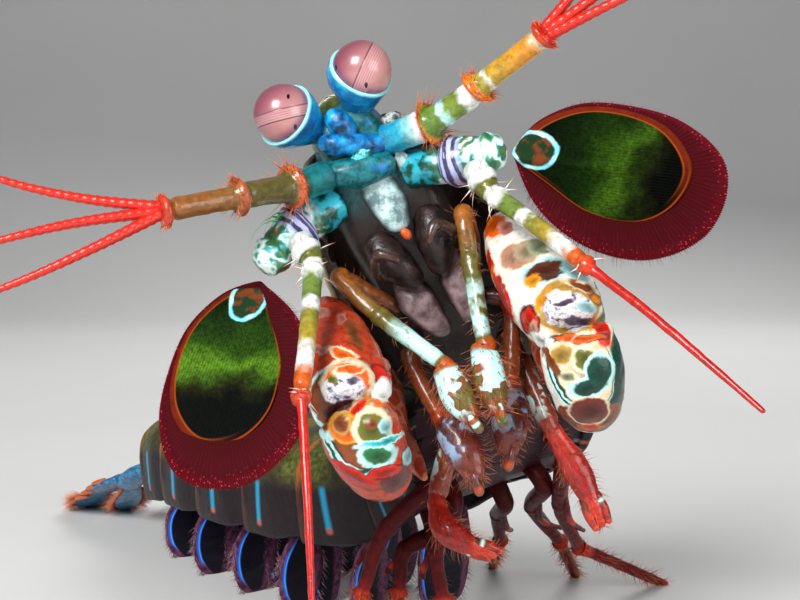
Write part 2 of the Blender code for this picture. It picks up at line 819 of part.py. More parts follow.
def antennae():
    for side, rows in ANTENNA_BASES.items():
        name = side_name(side)
        base = limb(forebody(rows), HEAD_UP, 10)
        node(f"antenna_base_{name}", base, "lavender", clear_of=("head", f"antennule_{name}"))
        whip = limb(forebody(ENDOPODS[side]), HEAD_UP, 7)
        node(f"antenna_endopod_{name}", whip, "flagellum", clear_of=(f"antenna_base_{name}", "head"))
        node(
            f"antennal_scale_{name}",
            scale_solid(side),
            "scale",
            clear_of=(f"antenna_base_{name}", f"antenna_endopod_{name}", f"claw_merus_{name}"),
        )


# The raptorial claws: merus, carpus, propodus and the club-heeled dactyl, folded

CLAW_PLACES = {
    1: ((-17.0, 10.0, -5.6), (-22.0, 9.8, -25.6), (-29.2, 7.9, -26.6), (-26.4, 10.6, -7.6)),
    -1: ((-15.5, -12.2, -5.4), (-17.4, -13.2, -25.0), (-24.6, -14.0, -25.6), (-23.6, -11.8, -7.4)),
}


def claws():
    """Each claw hangs down from its merus; its propodus and club fold back up behind."""
    for side, places in CLAW_PLACES.items():
        top, knee, bulb, far = (Vector(p) for p in places)
        down = knee - top
        drop = bulb - knee
        turn = Vector((-1.0, 0.0, 4.6)) + bulb
        back = far - turn
        rows = [
            (*top, 2.4, 2.4),
            (*(top + down * 0.22), 3.7, 3.5),
            (*(top + down * 0.55), 4.6, 4.2),
            (*(top + down * 0.8), 4.4, 4.1),
            (*knee, 3.6, 3.6),
            (*(knee + drop * 0.42 + Vector((0, 0, -1.0))), 4.0, 3.7),
            (*(knee + drop * 0.85 + Vector((0, 0, -0.4))), 3.7, 3.4),
            (*(bulb + Vector((-1.5, 0, 1.6))), 3.0, 3.0),
            (*turn, 2.7, 2.6),
            (*(turn + back * 0.2), 3.5, 3.6),
            (*(turn + back * 0.55), 3.8, 4.0),
            (*(turn + back * 0.85), 3.1, 3.0),
            (*far, 2.0, 2.0),
            (*(far + Vector((-1.3, 0.1 * side, 1.7))), 2.9, 2.6),
            (*(far + Vector((-4.0, 0.1 * side, 0.7))), 2.9, 2.5),
            (*(far + Vector((-6.2, 0, -2.4))), 1.6, 1.6),
            (*(far + Vector((-7.9, -0.2 * side, -8.0))), 1.1, 1.2),
            (*(far + Vector((-8.6, -0.6 * side, -12.0))), 0.45, 0.45),
        ]
        merus, carpus, propodus, dactyl = jointed(forebody(rows), HEAD_LEFT, 12, (4, 8, 12))
        name = side_name(side)
        node(f"claw_merus_{name}", merus, "claw", clear_of=("head", "carapace"))
        node(f"claw_carpus_{name}", carpus, "claw", clear_of=(f"claw_merus_{name}",))
        upper = (f"claw_merus_{name}", f"claw_carpus_{name}")
        node(f"claw_propodus_{name}", propodus, "club", clear_of=upper)
        node(f"claw_dactyl_{name}", dactyl, "club", clear_of=(f"claw_propodus_{name}",))


# The small maxillipeds, with round hands and hooked tips

MAXILLIPEDS = {
    ("maxilliped_1", 1): (
        (-15.5, 3.6, -6.4, 0.7),
        (-12.6, 4.4, -9.4, 0.65),
        (-10.4, 3.2, -11.6, 0.55),
        (-11.6, 1.6, -12.6, 0.35),
    ),
    ("maxilliped_1", -1): (
        (-15.5, -3.6, -6.4, 0.7),
        (-12.4, -4.6, -9.4, 0.65),
        (-10.2, -3.4, -11.6, 0.55),
        (-11.6, -1.8, -12.6, 0.35),
    ),
    ("maxilliped_3", 1): (
        (-19.5, 4.8, -5.6, 0.9),
        (-16.0, 6.2, -6.2, 0.9),
        (-12.6, 6.6, -7.4, 1.0),
        (-13.2, 6.0, -9.2, 0.95),
        (-16.1, 4.7, -11.2, 1.0),
        (-21.4, 1.9, -17.2, 0.9),
        (-22.4, 1.6, -18.0, 1.05),
        (-23.0, 1.0, -18.5, 1.5, 1.0),
        (-25.6, 0.0, -20.6, 1.7, 1.1),
        (-28.2, -0.8, -22.2, 0.8, 0.7),
    ),
    ("maxilliped_3", -1): (
        (-19.5, -4.8, -5.6, 0.9),
        (-16.0, -6.6, -5.8, 0.9),
        (-12.2, -8.5, -6.5, 1.0),
        (-13.6, -8.1, -8.6, 0.95),
        (-16.6, -6.7, -11.4, 1.0),
        (-21.4, -3.6, -17.3, 0.9),
        (-22.2, -3.3, -18.0, 1.05),
        (-22.8, -3.4, -18.6, 1.5, 1.0),
        (-25.2, -3.6, -20.6, 1.7, 1.1),
        (-27.4, -3.4, -22.0, 0.8, 0.7),
    ),
    ("maxilliped_4", 1): (
        (-23.0, 4.4, -5.8, 1.0),
        (-24.6, 6.2, -7.6, 0.95),
        (-27.0, 4.6, -10.4, 0.95),
        (-30.5, 1.9, -13.4, 0.9),
        (-31.6, 0.9, -14.8, 1.7, 1.2),
        (-33.6, -0.9, -16.8, 2.0, 1.4),
        (-35.6, -2.6, -18.2, 0.8, 0.6),
    ),
    ("maxilliped_4", -1): (
        (-23.0, -4.4, -5.8, 1.0),
        (-24.2, -6.4, -7.4, 0.95),
        (-27.0, -6.8, -10.6, 0.95),
        (-29.8, -6.8, -13.4, 0.9),
        (-30.8, -6.4, -15.0, 1.7, 1.2),
        (-33.2, -6.2, -17.4, 2.0, 1.4),
        (-35.8, -6.8, -19.2, 0.8, 0.6),
    ),
    ("maxilliped_5", 1): (
        (-28.5, 4.2, -5.6, 1.1),
        (-31.5, 4.2, -8.6, 1.1),
        (-36.6, 3.4, -13.4, 1.2),
        (-38.0, 3.3, -14.2, 1.0),
        (-42.2, 3.4, -16.4, 1.6, 1.2),
        (-45.0, 3.2, -18.2, 1.2, 0.9),
        (-48.4, 2.8, -20.0, 0.4, 0.4),
    ),
    ("maxilliped_5", -1): (
        (-29.0, -4.2, -5.6, 1.1),
        (-33.0, -5.4, -8.6, 1.1),
        (-38.0, -10.6, -11.4, 1.2),
        (-39.4, -12.2, -13.0, 1.0),
        (-41.0, -12.6, -15.8, 1.6, 1.2),
        (-43.2, -11.2, -17.6, 1.2, 0.9),
        (-45.6, -9.0, -18.8, 0.4, 0.4),
    ),
}


def hooked_hand(rows):
    """The curved tip that folds back along the inner edge of a maxilliped's hand."""
    end, hand, wrist = (Vector(rows[-k][:3]) for k in (1, 2, 3))
    back = (hand - end).normalized()
    aside = Vector((0.0, 0.0, -1.0))
    hook = [
        (end + back * 0.6, 0.6, 0.6),
        (end + aside * 0.9 - back * 0.5, 0.55, 0.55),
        (end + aside * 1.7 + back * 1.0, 0.42, 0.42),
        (hand.lerp(end, 0.3) + aside * 1.9, 0.16, 0.16),
    ]
    return [(head(*point), width, depth) for point, width, depth in hook]


def maxillipeds():
    for (kind, side), rows in MAXILLIPEDS.items():
        name = f"{kind}_{side_name(side)}"
        leg = limb(forebody(rows), HEAD_LEFT, 7)
        if kind != "maxilliped_1":
            leg = fused([leg, limb(hooked_hand(rows), HEAD_LEFT, 5)])
        meets = ("head",)
        if kind == "maxilliped_3":
            meets += (f"maxilliped_1_{side_name(side)}",)
        node(name, leg, "jaw_leg", clear_of=meets)


# The walking legs, each with a slender second branch

LEG_ROOTS = {6: 41.2, 7: 46.8, 8: 52.2}
LEG_PATHS = {
    (6, 1): ((20.5, 21.0, 16.5), (24.5, 32.0, 8.0), (38.3, 42.0, 0.0)),
    (6, -1): ((-1.5, 6.5, 17.0), (-4.5, 7.0, 9.0), (-6.2, 9.5, 0.0)),
    (7, 1): ((17.6, 27.5, 14.7), (22.5, 37.0, 7.5), (26.0, 46.0, 0.0)),
    (7, -1): ((4.4, 10.6, 13.0), (5.2, 11.6, 7.0), (6.4, 14.5, 0.0)),
    (8, 1): ((13.5, 34.5, 12.0), (14.5, 42.0, 6.5), (14.0, 51.0, 0.0)),
    (8, -1): ((0.6, 15.2, 12.0), (-0.2, 14.4, 7.0), (-0.6, 17.6, 0.0)),
}


def walking_legs():
    for (number, side), (hip, knee, foot) in LEG_PATHS.items():
        root = on_body(LEG_ROOTS[number], side * 6.5, -THORAX_STERNUM * 0.7)
        below = on_body(LEG_ROOTS[number], side * 7.2, -THORAX_STERNUM - 2.2)
        hip, knee, foot = Vector(hip), Vector(knee), Vector(foot)
        rows = [
            (root, 1.3, 1.3),
            (below, 1.2, 1.2),
            (hip, 1.0, 1.0),
            (hip.lerp(knee, 0.9), 0.85, 0.85),
            (knee, 1.05, 1.05),
            (knee.lerp(foot, 0.15), 0.8, 0.8),
            (knee.lerp(foot, 0.8), 0.75, 0.6),
            (foot + (foot - knee).normalized() * 0.5, 0.5, 0.4),
        ]
        side_branch = [
            (below.lerp(hip, 0.5), 0.6, 0.6),
            (hip + Vector((side * 1.4, 1.6, -2.2)), 0.45, 0.45),
            (hip.lerp(knee, 0.6) + Vector((side * 2.0, 2.4, -0.6)), 0.3, 0.3),
        ]
        pieces = fused([limb(rows, HEAD_LEFT, 7), limb(side_branch, HEAD_LEFT, 5)])
        name = f"leg_{number}_{side_name(side)}"
        meets = (f"thorax_{number}",)
        if number > 6:
            meets += (f"leg_{number - 1}_{side_name(side)}",)
        node(name, level(pieces), "leg", clear_of=meets)


# The pleopods, hung under the first five somites of the abdomen


def leaf(top, down, across, length, half_width, wall, lean):
    """A thin lobe: narrow at its root, broad at mid height and rounded at its end."""
    through = down.cross(across).normalized()
    rings = []
    for share, spread in ((0.0, 0.4), (0.35, 0.95), (0.75, 0.9), (1.0, 0.45)):
        centre = top + down * (length * share) + through * (lean * share * share)
        rings.append(oval(centre, across, through, half_width * spread, wall / 2, 6, squareness=3.0))
    return loft(rings)


def pleopods():
    begin = CARAPACE_END + 4 * THORAX_STEP
    for index in range(5):
        s = begin + (index + 0.42) * ABDOMEN_STEP
        centre, forward, left, up = body_frame(s)
        for side in (1, -1):
            sternum = centre + left * (side * 6.4) - up * (ABDOMEN_STERNUM + GAP)
            down = (Vector((0, 0, -1)) - forward * 0.16).normalized()
            height = sternum.z - FLOOR
            stalk = [
                (sternum, 2.3, 1.0),
                (sternum - up * 1.5, 2.2, 1.0),
                (sternum - up * 3.0, 1.4, 0.7),
            ]
            outer_root = sternum - up * 1.6 + left * (side * 2.2)
            inner_root = sternum - up * 1.6 - left * (side * 2.2) - forward * 0.6
            pieces = [
                limb(stalk, left, 8),
                leaf(outer_root, down, left, height - 1.3, 3.6, PLEOPOD_WALL, 0.8),
                leaf(inner_root, down, left, height - 1.5, 2.7, PLEOPOD_WALL, 1.6),
            ]
            name = f"pleopod_{index + 1}_{side_name(side)}"
            node(name, level(fused(pieces)), "pleopod", clear_of=(f"abdomen_{index + 1}",))


# The tail fan


def paddle_fringe(stations, wide, reach):
    """Flat setae round the far end and both edges of a paddle given by its stations."""
    edge = []
    for sign in (1, -1):
        row = stations if sign > 0 else stations[::-1]
        for point, half_width, _ in row:
            edge.append(point + wide * (sign * half_width))
    travelled = 0.0
    vanes = []
    centre = sum((point for point, _, _ in stations), Vector()) / len(stations)
    ahead = (stations[-1][0] - stations[0][0]).normalized()
    facing = ahead.cross(wide).normalized()
    for near, far in zip(edge, edge[1:]):
        run = (far - near).normalized()
        away = facing.cross(run)
        away = away if away.dot(near - centre) > 0 else -away
        length = (far - near).length
        while travelled < length:
            spot = near + run * travelled
            slant = (away + ahead * 0.7).normalized()
            lift = facing * (SETA_LIFT if len(vanes) % 2 else -SETA_LIFT)
            tip = spot + slant * (UROPOD_SETA_LENGTH * reach) + lift
            root = spot - slant * UROPOD_SETA_ROOT + lift
            across = slant.cross(facing)
            vanes.append(vane(root, tip, across, facing, SETA_HALF_WIDTH, SETA_HALF_WALL))
            travelled += UROPOD_SETA_PITCH
        travelled -= length
    return vanes


def uropods():
    start = CARAPACE_END + 4 * THORAX_STEP + 5 * ABDOMEN_STEP + LAST_SOMITE
    for side in (1, -1):
        centre, forward, left, up = body_frame(start + 2.0)
        out = left * side
        back = -forward

        def place(rear, outward, rise):
            return centre + back * rear + out * outward + up * rise

        protopod = [
            (place(-6.0, 10.0, -2.6), 1.6, 1.2),
            (place(-2.0, 12.4, -2.2), 2.2, 1.4),
            (place(3.0, 13.6, -1.8), 2.4, 1.4),
            (place(5.0, 13.8, -1.6), 1.6, 1.0),
        ]
        exopod = [
            (place(2.0, 14.6, -1.6), 1.8, 1.0),
            (place(6.0, 16.2, -1.2), 2.6, 0.8),
            (place(10.5, 17.8, -0.6), 2.6, 0.6),
            (place(13.0, 18.6, -0.2), 2.0, 0.45),
            (place(14.5, 18.8, 0.0), 2.6, 0.45),
            (place(18.0, 19.2, 0.3), 3.2, 0.4),
            (place(21.5, 19.0, 0.5), 2.2, 0.3),
            (place(23.5, 18.6, 0.6), 0.7, 0.3),
        ]
        endopod = [
            (place(3.0, 12.8, -2.2), 1.0, 0.7),
            (place(7.0, 13.0, -2.4), 1.8, 0.6),
            (place(12.0, 13.2, -2.2), 2.3, 0.45),
            (place(17.0, 13.2, -1.6), 1.9, 0.35),
            (place(20.5, 13.0, -1.2), 0.6, 0.3),
        ]
        pieces = [limb(rows, left, 8) for rows in (protopod, exopod, endopod)]
        for rows, first, reach in ((exopod, 4, 1.0), (endopod, 1, 0.8)):
            pieces += paddle_fringe(rows[first:], left, reach)
        for rear in (4.5, 7.0, 9.5, 12.0):
            outer = 14.9 + rear * 0.33 + 2.2
            spine_rows = [
                (place(rear, outer - 1.2, -0.9), 0.6, 0.5),
                (place(rear + 1.6, outer + 0.5, -0.7), 0.45, 0.4),
                (place(rear + 3.0, outer + 1.1, -0.5), 0.12, 0.12),
            ]
            pieces.append(limb(spine_rows, left, 5))
        name = side_name(side)
        node(f"uropod_{name}", level(fused(pieces)), "fan", clear_of=("abdomen_6", "telson"))


for stale in list(bpy.data.objects):
    bpy.data.objects.remove(stale)
PARTS = bpy.data.collections.new("mantis shrimp")
bpy.context.scene.collection.children.link(PARTS)
head_body()
carapace()
rostral_plate()
thorax()
abdomen()
telson()
eyes()
antennules()
claws()
antennae()
maxillipeds()
walking_legs()
pleopods()
uropods()
for made in PARTS.objects:
    made.data.transform(Matrix.Translation(-FOOTPRINT_CENTRE * MM))
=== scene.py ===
"""A life-size peacock mantis shrimp, reared up, with its colours, facets, bristles and setae."""

import math
import random

import bmesh
import bpy
import numpy as np
from mathutils import Matrix, Vector, noise


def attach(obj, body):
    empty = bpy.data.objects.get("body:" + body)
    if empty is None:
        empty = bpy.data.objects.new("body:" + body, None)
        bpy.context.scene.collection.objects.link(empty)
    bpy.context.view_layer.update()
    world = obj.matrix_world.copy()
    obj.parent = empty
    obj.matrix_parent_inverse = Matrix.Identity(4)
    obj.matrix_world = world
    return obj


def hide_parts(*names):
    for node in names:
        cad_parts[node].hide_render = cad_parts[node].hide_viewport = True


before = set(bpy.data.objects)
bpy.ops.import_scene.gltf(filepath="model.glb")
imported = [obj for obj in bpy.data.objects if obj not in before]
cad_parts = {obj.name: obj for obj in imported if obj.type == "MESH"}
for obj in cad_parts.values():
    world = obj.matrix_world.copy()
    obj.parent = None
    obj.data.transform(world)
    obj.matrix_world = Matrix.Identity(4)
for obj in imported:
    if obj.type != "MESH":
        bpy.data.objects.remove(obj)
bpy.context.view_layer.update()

bl_info = {
    "name": "Mantis Shrimp",
    "version": (1, 0, 0),
    "blender": (4, 5, 0),
    "location": "View3D > Sidebar > Mantis Shrimp",
    "description": "Builds a still, life-size peacock mantis shrimp over its fixed solids",
    "category": "Add Mesh",
}

# Lengths are in millimetres and become metres when a mesh is finished
MM = 0.001
FOOTPRINT_CENTRE = Vector((-10.9, 35.4, 0.0))
EYE_ROOT = Vector((-6.0, 0.0, 63.0)) - FOOTPRINT_CENTRE
HEAD_FORWARD = Vector((-0.47, -0.342, 0.814)).normalized()
HEAD_LEFT = Vector((0.866, 0.0, 0.5)).normalized()
HEAD_UP = HEAD_FORWARD.cross(HEAD_LEFT)
WORLD_UP = Vector((0.0, 0.0, 1.0))
CARAPACE_END = 33.0
THORAX_STEP = 5.5
ABDOMEN_STEP = 11.0
LAST_SOMITE = 10.0
ABDOMEN_START = CARAPACE_END + 4 * THORAX_STEP
TAIL_START = ABDOMEN_START + 5 * ABDOMEN_STEP + LAST_SOMITE
TELSON_LENGTH = 21.0
# Where the body's line runs past the carapace: how far behind the eye stalks, and the place
BEND = (
    (38.5, (10.8, 13.3, 31.2)), (44.0, (10.3, 16.2, 26.7)), (49.5, (8.0, 19.9, 23.2)),
    (55.0, (4.4, 23.6, 21.0)), (66.0, (-3.5, 31.0, 18.5)), (77.0, (-10.5, 39.4, 17.8)),
    (88.0, (-17.3, 48.0, 17.6)), (99.0, (-23.3, 57.2, 17.2)), (110.0, (-28.2, 67.0, 15.6)),
    (120.0, (-31.6, 76.0, 12.2)), (141.0, (-36.5, 93.4, 0.5)),
)
THORAX_HALF_WIDTHS = (12.2, 12.4, 12.7, 13.0)
THORAX_ROOF = 6.6
THORAX_STERNUM = 5.4
ABDOMEN_HALF_WIDTHS = (13.3, 13.9, 14.3, 14.4, 14.0, 12.4)
ABDOMEN_ROOF = 6.9
ABDOMEN_STERNUM = 4.4
ABDOMEN_FLAP = 7.2
TELSON_HALF_WIDTH = 11.0
MARK_DEPTH = 3.5
MARK_LIFT = 1.5
MARK_SOFTNESS = 0.16
MARK_GLOW = 0.6
STRIPE_RATE = 34.0
BUMP_HEIGHT = 0.3


def head(forward, left, up):
    """A place on the forebody, from the root of the eye stalks."""
    return EYE_ROOT + HEAD_FORWARD * forward + HEAD_LEFT * left + HEAD_UP * up


def floor_place(x, y, z):
    """A place given from the point on the floor under the camera's axis."""
    return Vector((x, y, z)) - FOOTPRINT_CENTRE


def between(p0, p1, p2, p3, t):
    """A point on the smooth curve from p1 to p2, with p0 before and p3 after them."""
    square = 2 * p0 - 5 * p1 + 4 * p2 - p3
    cube = 3 * p1 - p0 - 3 * p2 + p3
    return 0.5 * (2 * p1 + (p2 - p0) * t + square * t**2 + cube * t**3)


def ease(value, low, high):
    """0 below low, 1 above high and smooth between."""
    t = min(max((value - low) / (high - low), 0.0), 1.0)
    return t * t * (3 - 2 * t)


def rounded(value, power):
    """A power of the value with its sign kept. Below 1, it fills out the corners of a section."""
    return math.copysign(abs(value) ** power, value)


STATIONS = [(s, head(-s, 0, 0)) for s in (-6.0, 0.0, 11.0, 22.0, CARAPACE_END)]
STATIONS += [(s, floor_place(*p)) for s, p in BEND]


def spine(s):
    """A point of the body's centre line, s behind the eye stalks."""
    k = 1
    while k < len(STATIONS) - 2 and s > STATIONS[k + 1][0]:
        k += 1
    (s0, p0), (s1, p1), (s2, p2) = STATIONS[k - 1], STATIONS[k], STATIONS[k + 1]
    s3, p3 = STATIONS[min(k + 2, len(STATIONS) - 1)]
    t = (s - s1) / (s2 - s1)
    m1 = (p2 - p0) * ((s2 - s1) / (s2 - s0))
    m2 = (p3 - p1) * ((s2 - s1) / (s3 - s1))
    a = 2 * t**3 - 3 * t**2 + 1
    b = t**3 - 2 * t**2 + t
    c = 3 * t**2 - 2 * t**3
    d = t**3 - t**2
    return p1 * a + m1 * b + p2 * c + m2 * d


def body_frame(s):
    """Centre, forward, left and up of the body at s."""
    forward = (spine(s - 0.5) - spine(s + 0.5)).normalized()
    turn = ease(s, CARAPACE_END, CARAPACE_END + 33.0)
    left = HEAD_LEFT.lerp(WORLD_UP.cross(forward).normalized(), turn)
    left = (left - forward * left.dot(forward)).normalized()
    return spine(s), forward, left, forward.cross(left)


def on_body(s, left, up):
    """A place on the body at s, to the left of its line and above it."""
    centre, _, across, rise = body_frame(s)
    return centre + across * left + rise * up


def side_name(side):
    return "L" if side > 0 else "R"


# Skins: every vertex keeps how far along its piece it lies and where round the section


class Skin:
    """A mesh in the making, with the places of its vertices along and round the piece."""

    def __init__(self):
        self.bm = bmesh.new()
        layers = self.bm.verts.layers
        self.along = layers.float.new("along")
        self.side = layers.float.new("side")
        self.top = layers.float.new("top")
        self.part = layers.float.new("part")
        self.index = layers.int.new("ring_index")

    def loft(self, rings, marks, part=0.0, closed=True):
        """Extrudes a first ring of edges through the others. A ring lists (point, side, top)."""
        count = len(rings[0])
        made = bmesh.ops.create_circle(self.bm, cap_ends=False, radius=1.0, segments=count)["verts"]
        edges = sorted({edge for vert in made for edge in vert.link_edges}, key=lambda edge: edge.index)
        for number, vert in enumerate(made):
            vert[self.index] = number
        if not closed:
            ends = {made[0], made[-1]}
            self.bm.edges.remove(next(edge for edge in edges if ends == set(edge.verts)))
            edges = [edge for edge in edges if edge.is_valid]
        for number, (ring, mark) in enumerate(zip(rings, marks)):
            if number:
                grown = bmesh.ops.extrude_edge_only(self.bm, edges=edges)["geom"]
                made = [item for item in grown if isinstance(item, bmesh.types.BMVert)]
                edges = [item for item in grown if isinstance(item, bmesh.types.BMEdge)]
                edges = [edge for edge in edges if all(vert in set(made) for vert in edge.verts)]
            for vert in made:
                point, side, top = ring[vert[self.index]]
                vert.co = point
                vert[self.along] = mark
                vert[self.side] = side
                vert[self.top] = top
                vert[self.part] = part

    def close(self):
        """Fills the open ends and turns every face outwards."""
        open_edges = [edge for edge in self.bm.edges if edge.is_boundary]
        if open_edges:
            bmesh.ops.holes_fill(self.bm, edges=open_edges, sides=0)
        bmesh.ops.recalc_face_normals(self.bm, faces=self.bm.faces)
        return self


class Limb:
    """A smooth path of (point, half width, half depth), which is skinned and planted with bristles."""

    def __init__(self, stations, wide, squareness=2.0, relief=None):
        rows = [np.array([*row[0], row[1], row[2]], float) for row in stations]
        self.wide = wide
        self.power = 2.0 / squareness
        self.relief = relief
        dense = []
        self.station_marks = []
        for k in range(len(rows) - 1):
            before, after = rows[max(k - 1, 0)], rows[min(k + 2, len(rows) - 1)]
            self.station_marks.append(len(dense))
            for i in range(12):
                dense.append(between(before, rows[k], rows[k + 1], after, i / 12))
        self.station_marks.append(len(dense))
        dense.append(rows[-1])
        self.rows = np.array(dense)
        steps = np.linalg.norm(np.diff(self.rows[:, :3], axis=0), axis=1)
        self.marks = np.concatenate([[0.0], np.cumsum(steps)])
        self.length = float(self.marks[-1])

    def station(self, number):
        """How far along the limb a station lies, which may be a fraction."""
        places = [self.marks[index] for index in self.station_marks]
        return float(np.interp(number, range(len(places)), places))

    def number(self, s):
        """The station number at s, as a share of the last one."""
        places = [self.marks[index] for index in self.station_marks]
        return float(np.interp(s, places, range(len(places)))) / (len(places) - 1)

    def at(self, s):
        """Centre, ahead, across, rise, half width and half depth at s along the limb."""
        s = min(max(s, 0.0), self.length)
        row = [float(np.interp(s, self.marks, self.rows[:, k])) for k in range(5)]
        near, far = max(s - 0.25, 0.0), min(s + 0.25, self.length)
        low = Vector([float(np.interp(near, self.marks, self.rows[:, k])) for k in range(3)])
        high = Vector([float(np.interp(far, self.marks, self.rows[:, k])) for k in range(3)])
        ahead = (high - low).normalized()
        across = (self.wide - ahead * self.wide.dot(ahead)).normalized()
        return Vector(row[:3]), ahead, across, ahead.cross(across), max(row[3], 0.05), max(row[4], 0.05)

    def surface(self, s, angle, lift=0.0):
        """A point of the skin, the way out of it there, and the way ahead."""
        centre, ahead, across, rise, width, depth = self.at(s)
        x = rounded(math.cos(angle), self.power)
        y = rounded(math.sin(angle), self.power)
        out = (across * (x * depth) + rise * (y * width)).normalized()
        point = centre + across * (x * width) + rise * (y * depth)
        extra = lift + (self.relief(s, angle) if self.relief else 0.0)
        return point + out * extra, out, ahead

    def rings(self, sides, step, domes):
        """Rings for a loft, drawn in to round ends of the given lengths."""
        start, end = domes
        curve = [1 - math.cos(i * math.pi / 12) for i in range(6)]
        places = [start * share for share in curve] + [self.length - end * share for share in curve]
        count = max(int((self.length - start - end) / step), 1)
        places += [start + (self.length - start - end) * i / count for i in range(count + 1)]
        rings, marks = [], []
        for s in sorted(set(round(place, 4) for place in places)):
            near = 1 - min(s / start, 1.0)
            far = 1 - min((self.length - s) / end, 1.0)
            shrink = math.sqrt(max(1 - near * near, 0.0004)) * math.sqrt(max(1 - far * far, 0.0004))
            centre = self.at(s)[0]
            ring = []
            for i in range(sides):
                angle = 2 * math.pi * i / sides
                away = self.surface(s, angle)[0] - centre
                ring.append((centre + away * shrink, math.cos(angle), math.sin(angle)))
            rings.append(ring)
            marks.append(self.number(s))
        return rings, marks


def limb_skin(limb, sides, step, domes, skin=None, part=0.0):
    """Skins a limb, into the given mesh or a new one."""
    skin = skin or Skin()
    skin.loft(*limb.rings(sides, step, domes), part=part)
    return skin


def forebody_limb(rows, wide=HEAD_LEFT):
    """A limb from rows of (forward, left, up, half width, half depth) in the head's directions."""
    stations = [(head(*row[:3]), row[3], row[4] if len(row) > 4 else row[3]) for row in rows]
    return Limb(stations, wide)


def lump(skin, centre, radii, turn, part=0.0, segments=20, rings=12):
    """A rounded form added to a skin, such as a condyle or a tubercle."""
    made = bmesh.ops.create_uvsphere(skin.bm, u_segments=segments, v_segments=rings, radius=1.0)["verts"]
    for vert in made:
        vert[skin.side], vert[skin.top], vert[skin.part] = vert.co.x, vert.co.y, part
    scale = Matrix.Diagonal((*radii, 1.0))
    bmesh.ops.transform(skin.bm, matrix=Matrix.Translation(centre) @ turn.to_4x4() @ scale, verts=made)
    return made


def facing(ahead, wide=HEAD_LEFT):
    """A turn that takes z to ahead and x near wide."""
    ahead = ahead.normalized()
    across = (wide - ahead * wide.dot(ahead)).normalized()
    return Matrix((across, ahead.cross(across), ahead)).transposed()


def roughen(skin, size, height, seed=0.0):
    """Moves the skin in and out by a smooth noise of the given grain."""
    skin.bm.normal_update()
    shift = Vector((seed, seed * 1.7, seed * 0.3))
    for vert in skin.bm.verts:
        vert.co += vert.normal * (noise.fractal(vert.co / size + shift, 0.6, 2.0, 3) * height)


def press(skin, marks):
    """Swells or hollows the skin under each painted oval by the mark's lift."""
    skin.bm.normal_update()
    for x, y, z, half_width, half_height, tilt, lift, *_ in marks:
        turn = Matrix.Rotation(math.radians(tilt), 3, "Y")
        middle = floor_place(x, y, z)
        for vert in skin.bm.verts:
            local = turn @ (vert.co - middle)
            near = 1 - (local.x / half_width) ** 2 - (local.y / MARK_DEPTH) ** 2
            near -= (local.z / half_height) ** 2
            if near > 0:
                vert.co += vert.normal * (MARK_LIFT * lift * near**0.6)


def finish_piece(name, skin, material, nodes=(), floor=False):
    """The finished piece, in metres, riding on the body and standing for its CAD nodes."""
    if floor:
        for vert in skin.bm.verts:
            vert.co.z = max(vert.co.z, 0.0)
    bmesh.ops.scale(skin.bm, vec=(MM, MM, MM), verts=skin.bm.verts)
    mesh = bpy.data.meshes.new(name)
    skin.bm.to_mesh(mesh)
    skin.bm.free()
    declare(name, mesh, material, nodes)


def complete(node, skin, grain, material, floor=False):
    """Roughens, closes and finishes the skin that stands for one CAD node."""
    roughen(skin, *grain)
    skin.close()
    finish_piece(node, skin, material, [node], floor)


def declare(name, mesh, material, nodes=()):
    """Sets a piece in the scene and says what it rides on and its CAD nodes."""
    mesh.materials.append(material)
    mesh.shade_smooth()
    made = bpy.data.objects.new(name, mesh)
    bpy.context.scene.collection.objects.link(made)
    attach(made, "root")
    if nodes:
        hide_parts(*nodes)


# Bristles, setae and hairs: one small tapered form, set many times


def bristle_form(sides, joints, flat=1.0):
    """A tapered form of unit length along z: its corners and faces."""
    bm = bmesh.new()
    sizes = {"radius1": 1.0, "radius2": 0.06, "depth": 1.0}
    made = bmesh.ops.create_cone(bm, cap_ends=True, segments=sides, **sizes)
    bmesh.ops.translate(bm, vec=(0, 0, 0.5), verts=made["verts"])
    upright = [edge for edge in bm.edges if abs(edge.verts[0].co.z - edge.verts[1].co.z) > 0.5]
    bmesh.ops.subdivide_edges(bm, edges=upright, cuts=joints, use_grid_fill=True)
    bmesh.ops.scale(bm, vec=(1.0, flat, 1.0), verts=bm.verts)
    bmesh.ops.triangulate(bm, faces=bm.faces)
    bm.verts.ensure_lookup_table()
    corners = np.array([vert.co for vert in bm.verts])
    faces = np.array([[vert.index for vert in face.verts] for face in bm.faces])
    bm.free()
    return corners, faces


def coat(name, plants, form, material):
    """Many bristles as one mesh. A plant is (root, way, across, length, radius, bend, u, v)."""
    corners, faces = form
    points, tips, unwrap = [], [], []
    for root, way, across, length, radius, bend, u, v in plants:
        way = way.normalized()
        across = (across - way * across.dot(way)).normalized()
        rise = way.cross(across)
        basis = np.array([across * radius, rise * radius, way * length])
        curved = corners @ basis + np.outer(corners[:, 2] ** 2, np.array(bend) * length)
        points.append(curved + np.array(root))
        tips.append(corners[:, 2])
        unwrap.append(np.stack([u + corners[:, 0] * 0.0012, v + corners[:, 2] * 0.003], axis=1))
    count = len(corners)
    joined = np.concatenate([faces + i * count for i in range(len(plants))])
    points = np.concatenate(points) * MM
    points[:, 2] = np.maximum(points[:, 2], 0.0)
    mesh = bpy.data.meshes.new(name)
    mesh.from_pydata(points, [], joined)
    mark = mesh.attributes.new("along", "FLOAT", "POINT")
    mark.data.foreach_set("value", np.concatenate(tips).astype(np.float32))
    layer = mesh.uv_layers.new(name="OFBake")
    layer.data.foreach_set("uv", np.concatenate(unwrap)[joined.ravel()].astype(np.float32).ravel())
    declare(name, mesh, material)


